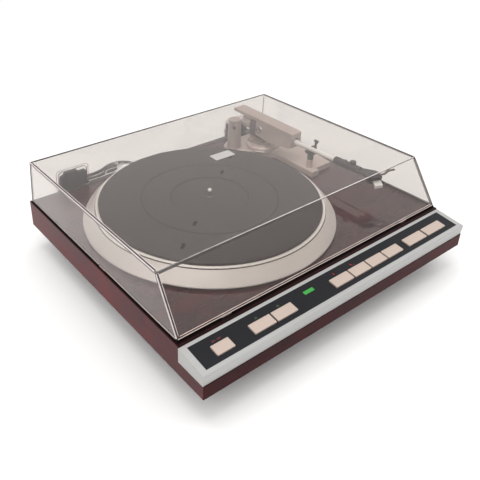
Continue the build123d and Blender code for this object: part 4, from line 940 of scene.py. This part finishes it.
MATS["edge_dark"] = edge_acrylic("edge_dark_painted_shade", (0.050, 0.030, 0.028), (0.085, 0.054, 0.050), 0.08, 0.18)
MATS["edge_soft"] = edge_acrylic("edge_soft_painted_shade", (0.20, 0.165, 0.15), (0.30, 0.26, 0.24), 0.40, 0.55)
MATS["pane"] = edge_acrylic("acrylic_pane", (0.46, 0.42, 0.39), (0.54, 0.50, 0.47), 0.80, 0.84)
MATS["gap_shadow_paint"] = speckled("gap_shadow_black", (0.005, 0.004, 0.004), (0.012, 0.010, 0.010), 0.9, 1500.0, 0.2, spec=0.08)
LID_Z0, LID_Z1, LID_T = 76.8, 135.6, 3.0


def lid_corner(sx, rear, z, inset=0.0):
    t = (z - LID_Z0) / (LID_Z1 - LID_Z0)
    hx = 215.0 - 2.5 * t - inset
    y = 191.2 - 3.2 * t - inset if rear else -149.4 + 38.9 * t + inset * 1.2
    return Vector((sx * hx, y, z))


N_TOP = Vector((0, 0, 1))
N_FRONT = Vector((0, -58.8, 38.9)).normalized()
N_REAR = Vector((0, 58.8, 3.2)).normalized()
N_SIDE = {s_: Vector((s_ * 58.8, 0, 2.5)).normalized() for s_ in (-1, 1)}


def prism(name, a, b, ring_a, ring_b, material, body):
    return skin(name, [[(a + v) * MM for v in ring_a], [(b + v) * MM for v in ring_b]], material, body, 30.0)


def painted_edge_band(name, p, q, n1, n2, radius, spread, proud, trim, material="edge"):
    """Narrow band on a rounded outer edge: a painted highlight with a pale material, painted shade with a dark one."""
    d_ = (q - p).normalized()
    p, q = p + d_ * trim, q - d_ * trim
    back = -(n1 + n2) * (radius / (1 + n1.dot(n2)))
    full = n1.angle(n2)
    mid = (n1 + n2).normalized()
    side = (n2 - mid * n2.dot(mid)).normalized()
    half = full / 2 * spread
    outer, inner = [], []
    for i in range(9):
        t = -half + 2 * half * i / 8
        v = mid * math.cos(t) + side * math.sin(t)
        outer.append(back + v * (radius + proud))
        inner.append(back + v * (radius - 0.05))
    ring = outer + inner[::-1]
    return prism(name, p, q, ring, ring, material, "lid")


def painted_corner_highlight(name, p, q, u1, u2, size):
    """Pale hollow-faced triangular strip in an inner corner: a painted highlight."""
    ring = [Vector((0, 0, 0)), u1 * size]
    for i in range(1, 5):
        t = i / 5
        ring.append(u1 * (size * (1 - t) ** 1.6) + u2 * (size * t ** 1.6))
    ring.append(u2 * size)
    return prism(name, p, q, ring, ring, "edge", "lid")


R_ = 1.2
top = {(sx, rear): lid_corner(sx, rear, LID_Z1) for sx in (-1, 1) for rear in (False, True)}
low = {(sx, rear): lid_corner(sx, rear, LID_Z0) for sx in (-1, 1) for rear in (False, True)}
# pale strips are painted highlights; on the right, the top and front edges take edge_dark, painted shade
for sx, tag in ((-1, "left"), (1, "right")):
    far = "edge" if sx < 0 else "edge_dark"
    painted_edge_band("painted_edge_top_" + tag, top[sx, False], top[sx, True], N_TOP, N_SIDE[sx], R_, 0.8, 0.04, 2.0, far)
    painted_edge_band("painted_edge_front_" + tag, low[sx, False], top[sx, False], N_FRONT, N_SIDE[sx], R_, 0.8, 0.04, 2.0, far)
    painted_edge_band("painted_edge_rear_" + tag, low[sx, True], top[sx, True], N_REAR, N_SIDE[sx], R_, 0.8, 0.04, 2.0)
painted_edge_band("painted_edge_top_front", top[-1, False], top[1, False], N_TOP, N_FRONT, R_, 0.98, 0.05, 2.0, "edge_front")
painted_edge_band("painted_edge_top_rear", top[-1, True], top[1, True], N_TOP, N_REAR, R_, 0.8, 0.04, 2.0)
zi = LID_Z1 - LID_T
it = {(sx, rear): lid_corner(sx, rear, zi, LID_T) for sx in (-1, 1) for rear in (False, True)}
il = {(sx, rear): lid_corner(sx, rear, LID_Z0 + 0.05, LID_T) for sx in (-1, 1) for rear in (False, True)}
DOWN = Vector((0, 0, -1))
for sx, tag in ((-1, "left"), (1, "right")):
    inx = Vector((-sx, 0, 0))
    down_side = (il[sx, True] - it[sx, True]) * Vector((1, 0, 1))
    down_side.normalize()
    painted_corner_highlight("painted_corner_top_" + tag, it[sx, False] + Vector((0, 1, 0)), it[sx, True] - Vector((0, 1, 0)), inx, down_side, 1.2)
    up_front = (it[sx, False] - il[sx, False]).normalized()
    painted_corner_highlight("painted_corner_front_" + tag, il[sx, False], it[sx, False] - up_front, inx, Vector((0, 1, 0)), 1.2)
    painted_corner_highlight("painted_corner_rear_" + tag, il[sx, True], it[sx, True] - Vector((0, 0, 1)), inx, Vector((0, -1, 0)), 1.2)


def rim_band(name, p, q, n, up, start, stop, material="edge_rim"):
    """Thin band on the outer face of a wall, between two distances from its edge."""
    ring = [n * -0.02 + up * start, n * 0.03 + up * (start + 0.06), n * 0.03 + up * (stop - 0.06), n * -0.02 + up * stop]
    return prism(name, p, q, ring, ring, material, "lid")


# bands on the walls: edge_rim and edge are painted highlights, edge_brown a dim painted highlight on the lower side
# rims, and edge_deep, edge_dark, edge_shade and edge_soft painted shade
rim_band("rim_front", low[-1, False] + Vector((1.6, 0, 0)), low[1, False] - Vector((1.6, 0, 0)), N_FRONT,
         ((top[1, False] - low[1, False]) * Vector((0, 1, 1))).normalized(), 0.04, 0.85)
up_f = ((top[1, False] - low[1, False]) * Vector((0, 1, 1))).normalized()
for tag_, r0, r1, mt in (("deep", 0.95, 2.2, "edge_deep"), ("inner", 2.3, 3.1, "edge_rim")):
    rim_band("rim_front_" + tag_, low[-1, False] + Vector((4.6, 0, 0)), low[1, False] - Vector((4.6, 0, 0)), N_FRONT, up_f, r0, r1, mt)
for sx, tag in ((-1, "left"), (1, "right")):
    inx = Vector((-sx, 0, 0))
    rim_band("deep_top_" + tag, top[sx, False] + Vector((0, 3.0, 0)), top[sx, True] - Vector((0, 3.0, 0)), N_TOP, inx, 1.25 if sx < 0 else 0.5, 2.85 if sx < 0 else 3.0, "edge_deep" if sx < 0 else "edge_dark")
    d_ = (top[sx, False] - low[sx, False]).normalized()
    rim_band("deep_front_" + tag, low[sx, False] + d_ * 1.0, top[sx, False] - d_ * 2.6, N_FRONT, inx, 1.25 if sx < 0 else 0.5, 2.85 if sx < 0 else 3.0, "edge_deep" if sx < 0 else "edge_dark")
    rim_band("deep_side_" + tag, top[sx, False] + Vector((0, 2.4, 0)), top[sx, True] - Vector((0, 2.4, 0)), N_SIDE[sx], DOWN, 1.05, 2.35, "edge_deep")
    rim_band("deep_corner_" + tag, low[sx, False] + d_ * 1.4, top[sx, False] - d_ * 2.8, N_SIDE[sx], Vector((0, 1, 0)), 1.45, 2.75, "edge_deep")
    if sx < 0:
        rim_band("inner_top_" + tag, top[sx, False] + Vector((0, 3.4, 0)), top[sx, True] - Vector((0, 3.4, 0)), N_TOP, inx, 3.0, 3.75, "edge")
    rim_band("inner_front_" + tag, low[sx, False] + d_ * 4.0, top[sx, False] - d_ * 3.0, N_FRONT, inx, 3.0, 3.6, "edge")
    rim_band("rim_low_" + tag, low[sx, False] + Vector((0, 3.6, 0)), low[sx, True] - Vector((0, 1.8, 0)), N_SIDE[sx], Vector((0, 0, 1)), 0.04, 0.85, "edge_brown")
rim_band("shade_top_front", top[-1, False] + Vector((3.2, 0, 0)), top[1, False] - Vector((120.0, 0, 0)), N_FRONT, -up_f, 0.9, 3.3, "edge_shade")
rim_band("deep_top_rear", top[-1, True] + Vector((3.0, 0, 0)), top[1, True] - Vector((3.0, 0, 0)), N_TOP, Vector((0, -1, 0)), 1.3, 2.1, "edge_soft")

# dark strip on the plinth below the lid's walls: a painted shadow for the gap under the lid, open at the lid's bumpers
ZS0, ZS1 = 73.72, 76.35


def strip(name, x0, y0, x1, y1, z_top=ZS1):
    a = [Vector((x0, y0, ZS0)), Vector((x1, y0, ZS0)), Vector((x1, y1, ZS0)), Vector((x0, y1, ZS0))]
    k = 0.4
    c_ = Vector(((x0 + x1) / 2, (y0 + y1) / 2, 0))
    b = []
    for v in a:
        w = v.copy()
        w.x += k if v.x < c_.x else -k
        w.y += k if v.y < c_.y else -k
        w.z = z_top
        b.append(w)
    m1 = [Vector((v.x, v.y, z_top - k)) for v in a]
    return skin(name, [[v * MM for v in a], [v * MM for v in m1], [v * MM for v in b]], "gap_shadow_paint", "plinth", 30.0)


for i, (a, b) in enumerate(((-215.2, -158.0), (-142.0, 142.0), (158.0, 215.2))):
    strip("seal_front_%d" % i, a, -149.9, b, -146.6)
for sx, tag in ((-1, "left"), (1, "right")):
    xa, xb = sorted((sx * 215.2, sx * (212.2 if sx < 0 else 214.1)))
    for i, (a, b) in enumerate(((-146.4, -8.0), (8.0, 188.0))):
        strip("seal_%s_%d" % (tag, i), xa, a, xb, b, ZS1 if sx < 0 else 75.0)

# pink lining of the two hinge openings in the rear wall: a painted highlight on their cut edges
for sx, tag in ((-1, "left"), (1, "right")):
    cx = sx * 152.0
    pts = []
    hw, zt, rr = 22.0, 104.0, 5.0
    outline = [(-hw, LID_Z0 + 0.2)]
    for i in range(7):
        a = math.pi - i * math.pi / 12
        outline.append((-hw + rr + rr * math.cos(a), zt - rr + rr * math.sin(a)))
    for i in range(7):
        a = math.pi / 2 - i * math.pi / 12
        outline.append((hw - rr + rr * math.cos(a), zt - rr + rr * math.sin(a)))
    outline.append((hw, LID_Z0 + 0.2))
    secs = []
    for i, (u, z) in enumerate(outline):
        pa = Vector(outline[max(0, i - 1)])
        pb = Vector(outline[min(len(outline) - 1, i + 1)])
        tg = (pb - pa).normalized()
        nn = Vector((-tg.y, tg.x))
        t = (z - LID_Z0) / (LID_Z1 - LID_Z0)
        yo = 191.2 - 3.2 * t
        yi = yo - 3.0
        w = 0.45
        q = []
        for off, y in ((0.02, yo + 0.03), (w, yo + 0.03), (w, yi - 0.06), (0.02, yi - 0.06), (-0.05, yi - 0.02), (-0.05, yo - 0.02)):
            q.append(Vector((cx + u + nn.x * off, y, z + nn.y * off)) * MM)
        secs.append(q)
    skin("opening_rim_" + tag, secs, "edge_pink", "lid", 30.0)
    # thin smoked pane that closes the opening around the hinge block
    pane = [(-hw + 0.1, 90.0)]
    for i in range(7):
        a = math.pi - i * math.pi / 12
        pane.append((-hw + rr + (rr - 0.1) * math.cos(a), zt - rr + (rr - 0.1) * math.sin(a)))
    for i in range(7):
        a = math.pi / 2 - i * math.pi / 12
        pane.append((hw - rr + (rr - 0.1) * math.cos(a), zt - rr + (rr - 0.1) * math.sin(a)))
    pane.append((hw - 0.1, 90.0))
    skin("opening_pane_" + tag,
         [[Vector((cx + u, 191.2 - 3.2 * (z - LID_Z0) / (LID_Z1 - LID_Z0) - 1.5 + dy, z)) * MM for u, z in pane] for dy in (-0.25, 0.25)],
         "pane", "lid", 30.0)
    # pink outline around the opening, on the inner face: a painted highlight
    line = [(-25.5, LID_Z0 + 0.3)]
    for i in range(7):
        a = math.pi - i * math.pi / 12
        line.append((-25.5 + 5 + 5 * math.cos(a), 107.4 - 5 + 5 * math.sin(a)))
    for i in range(7):
        a = math.pi / 2 - i * math.pi / 12
        line.append((24.0 - 5 + 5 * math.cos(a), 107.4 - 5 + 5 * math.sin(a)))
    line.append((24.0, LID_Z0 + 0.3))
    secs = []
    for i, (u, z) in enumerate(line):
        pa = Vector(line[max(0, i - 1)])
        pb = Vector(line[min(len(line) - 1, i + 1)])
        tg = (pb - pa).normalized()
        nn = Vector((-tg.y, tg.x))
        yi = 188.2 - 3.04 * (z - LID_Z0) / (132.6 - LID_Z0)
        secs.append([Vector((cx + u + nn.x * off, yi + dy, z + nn.y * off)) * MM
                     for off, dy in ((-0.4, 0.03), (-0.3, -0.09), (0.3, -0.09), (0.4, 0.03))])
    skin("opening_outline_" + tag, secs, "edge_pink", "lid", 30.0)

# ------------------------------------------------------- small visible parts
PAN_REAR, PAN_FRONT, PAN_Z_REAR, PAN_Z_FRONT = -153.9, -195.0, 72.1, 66.4
pan_a = math.atan2(PAN_Z_REAR - PAN_Z_FRONT, PAN_REAR - PAN_FRONT)
PAN_YM, PAN_ZM = (PAN_REAR + PAN_FRONT) / 2, (PAN_Z_REAR + PAN_Z_FRONT) / 2
PN = Vector((0, -math.sin(pan_a), math.cos(pan_a)))
PV = Vector((0, math.cos(pan_a), math.sin(pan_a)))


def panel_point(x, y, h):
    v = (y - PAN_YM) / math.cos(pan_a)
    return (Vector((x, PAN_YM, PAN_ZM)) + PV * v + PN * h) * MM


def ink(name, colour, glow=0.0):
    m = Mat(name)
    n = m.noise(m.obj, 2500.0, 3.0)
    col = m.ramp(n, [(0.3, shade(colour, 0.8)), (0.7, shade(colour, 1.15))])
    m.set(base=col, rough=0.5, normal=m.bump(n, 0.000005, 0.5))
    if glow:
        m.set(emit=col, emit_power=glow)
    return m.m


MATS["ink_green"] = ink("ink_green", (0.10, 0.17, 0.055))
MATS["ink_red"] = ink("ink_red", (0.26, 0.03, 0.03))
MATS["ink_pale"] = ink("ink_pale", (0.30, 0.30, 0.29))


def legend(name, text, x, y, size, material, h=0.02):
    """Raised print on the fascia: numbers and ON / OFF only."""
    tcu = bpy.data.curves.new(name, "FONT")
    tcu.body = text
    tcu.size = size * MM
    tcu.align_x = "CENTER"
    tcu.align_y = "CENTER"
    tcu.extrude = 0.00002
    tmp = bpy.data.objects.new(name + "_tmp", tcu)
    bpy.context.scene.collection.objects.link(tmp)
    bpy.context.view_layer.update()
    me = bpy.data.meshes.new_from_object(tmp.evaluated_get(bpy.context.evaluated_depsgraph_get()))
    bpy.data.objects.remove(tmp)
    bpy.data.curves.remove(tcu)
    me.transform(frame_of(panel_point(x, y, h), (1, 0, 0), PV, PN))
    me.materials.clear()
    me.materials.append(MATS[material])
    return add(name, me, material, "plinth", smooth=False)


legend("legend_power", "ON  OFF", -178.8, -166.4, 3.0, "ink_red")
legend("legend_33", "33", -125.6, -166.6, 3.4, "ink_green")
legend("legend_45", "45", -93.8, -166.6, 3.4, "ink_green")
legend("legend_size", "7  12", 28.8, -167.4, 2.6, "ink_red")


def screw(name, origin, direction, radius, material="steel", body="plinth"):
    """Pan-head screw with a cross recess."""
    x, y, d_ = axes_for(direction)
    o_ = Vector(origin)
    bm = bmesh.new()
    n = 32
    rows = [(1.0, 0.0), (1.0, 0.25), (0.9, 0.45), (0.68, 0.58)]
    rings = []
    for r, hh in rows:
        rings.append([bm.verts.new(o_ + d_ * hh * radius + (x * math.cos(2 * math.pi * k / n) + y * math.sin(2 * math.pi * k / n)) * r * radius) for k in range(n)])
    star = []
    for k in range(n):
        a = 2 * math.pi * k / n
        arm_ = max(abs(math.cos(2 * a)), 0.0)
        r = (0.17 + 0.40 * arm_ ** 6) * radius
        star.append(bm.verts.new(o_ + d_ * 0.60 * radius + (x * math.cos(a) + y * math.sin(a)) * r))
    deep = [bm.verts.new(v.co - d_ * 0.35 * radius) for v in star]
    rings += [star, deep]
    for a, b in zip(rings, rings[1:]):
        for k in range(n):
            k2 = (k + 1) % n
            bm.faces.new((a[k], a[k2], b[k2], b[k]))
    bm.faces.new(deep)
    bm.faces.new(list(reversed(rings[0])))
    bmesh.ops.recalc_face_normals(bm, faces=bm.faces)
    me = bpy.data.meshes.new(name)
    bm.to_mesh(me)
    bm.free()
    return sharpen(add(name, me, material, body), 30.0)


# ------------------------------------------------- turned parts of the tonearm
YAW = math.radians(2.5)
EX = Vector((math.cos(YAW), math.sin(YAW), 0))
EY = Vector((-math.sin(YAW), math.cos(YAW), 0))
EZ = Vector((0, 0, 1))
A0 = Vector((147.0, 116.5, 112.0))


def arm_at(x, y, z):
    return (A0 + EX * x + EY * y + EZ * z) * MM


def mm(profile):
    return [(r * MM, h * MM) for r, h in profile]


tube = lathe(
    "arm_tube_turned",
    mm([(0, 0), (3.25, 0), (3.45, 0.3), (3.45, 1.3), (3.25, 1.5), (3.25, 2.1), (3.42, 2.3), (3.42, 30.0), (3.38, 64.2),
        (3.2, 64.4), (3.2, 65.0), (3.40, 65.2), (3.40, 66.9), (0, 66.9)]),
    arm_at(0, -74.05, 0), -EY, "tube", "tonearm", 64, None, 25.0)
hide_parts("arm_tube")
weight = lathe(
    "counterweight_turned",
    mm([(3.45, 0), (9.4, 0), (10.1, 0.4), (10.38, 1.0), (10.38, 2.2), (9.9, 2.5), (9.9, 3.0), (10.36, 3.3), (10.38, 5.0),
        (10.38, 11.0), (10.36, 12.8), (9.9, 13.1), (9.9, 13.6), (10.38, 13.9), (10.38, 17.5), (10.0, 18.1), (9.4, 18.5), (3.45, 18.5)]),
    arm_at(0, 22.5, 1.5), EY, "champagne", "counterweight", 144, (7, 10, 72, 0.00035), 30.0)
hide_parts("counterweight")
knob = lathe(
    "headshell_knob_turned",
    mm([(0, 0), (3.7, 0), (4.2, 0.35), (4.38, 0.7), (4.38, 2.0), (4.38, 3.0), (4.0, 3.6), (3.6, 3.8), (1.7, 3.8), (1.4, 3.5), (0, 3.4)]),
    arm_at(0, -171.0, 5.6), EZ, "head", "headshell_knob", 120, (3, 5, 40, 0.0003), 30.0)
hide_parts("headshell_knob")
pin = lathe(
    "lift_pin_turned",
    mm([(0, 0), (1.2, 0), (1.5, 0.3), (1.5, 22.5), (1.42, 22.75), (1.2, 22.83), (0.6, 22.9), (0.3, 22.925), (0, 22.94)]),
    arm_at(0, -14.0, -27.5), EZ, "steel", "lift_pin", 48, None, 40.0)
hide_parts("lift_pin")
lathe("turret_collar_ring", mm([(26.9, 0.02), (27.1, 0.3), (27.5, 0.42), (27.8, 0.3), (27.9, 0.02)]),
      (0.147, 0.1165, 0.0841), (0, 0, 1), "bright", "plinth", 160, None, 50.0, True)
screw("stop_screw", arm_at(-17.25, 13.5, -20.6), -EX, 0.0016, "bright", "arm_yaw")

# ------------------------------------------------------ rear and bottom parts
for i, x in enumerate((-58.0, -42.0)):
    lathe("socket_shell_%d" % i, mm([(2.7, 0.1), (4.24, 0.0), (4.26, 5.6), (4.05, 6.0), (3.0, 6.0), (2.7, 5.7)]),
          (x * MM, 0.1871, 0.048), (0, 1, 0), "nickel", "plinth", 64, None, 30.0, True)
for i, (x, z) in enumerate(((-128.0, 42.5), (-128.0, 53.5), (-32.5, 42.5), (-32.5, 53.5))):
    screw("plate_screw_%d" % i, (x * MM, 0.18705, z * MM), (0, 1, 0), 0.0017)
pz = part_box("bottom_pan")[0].z + 0.010
for i, (x, y) in enumerate(((-200, -150), (0, -178), (200, -150), (-200, 0), (200, 0), (-200, 150), (0, 178), (200, 150))):
    screw("pan_screw_%d" % i, (x * MM, y * MM, pz - 0.00005), (0, 0, -1), 0.0030)
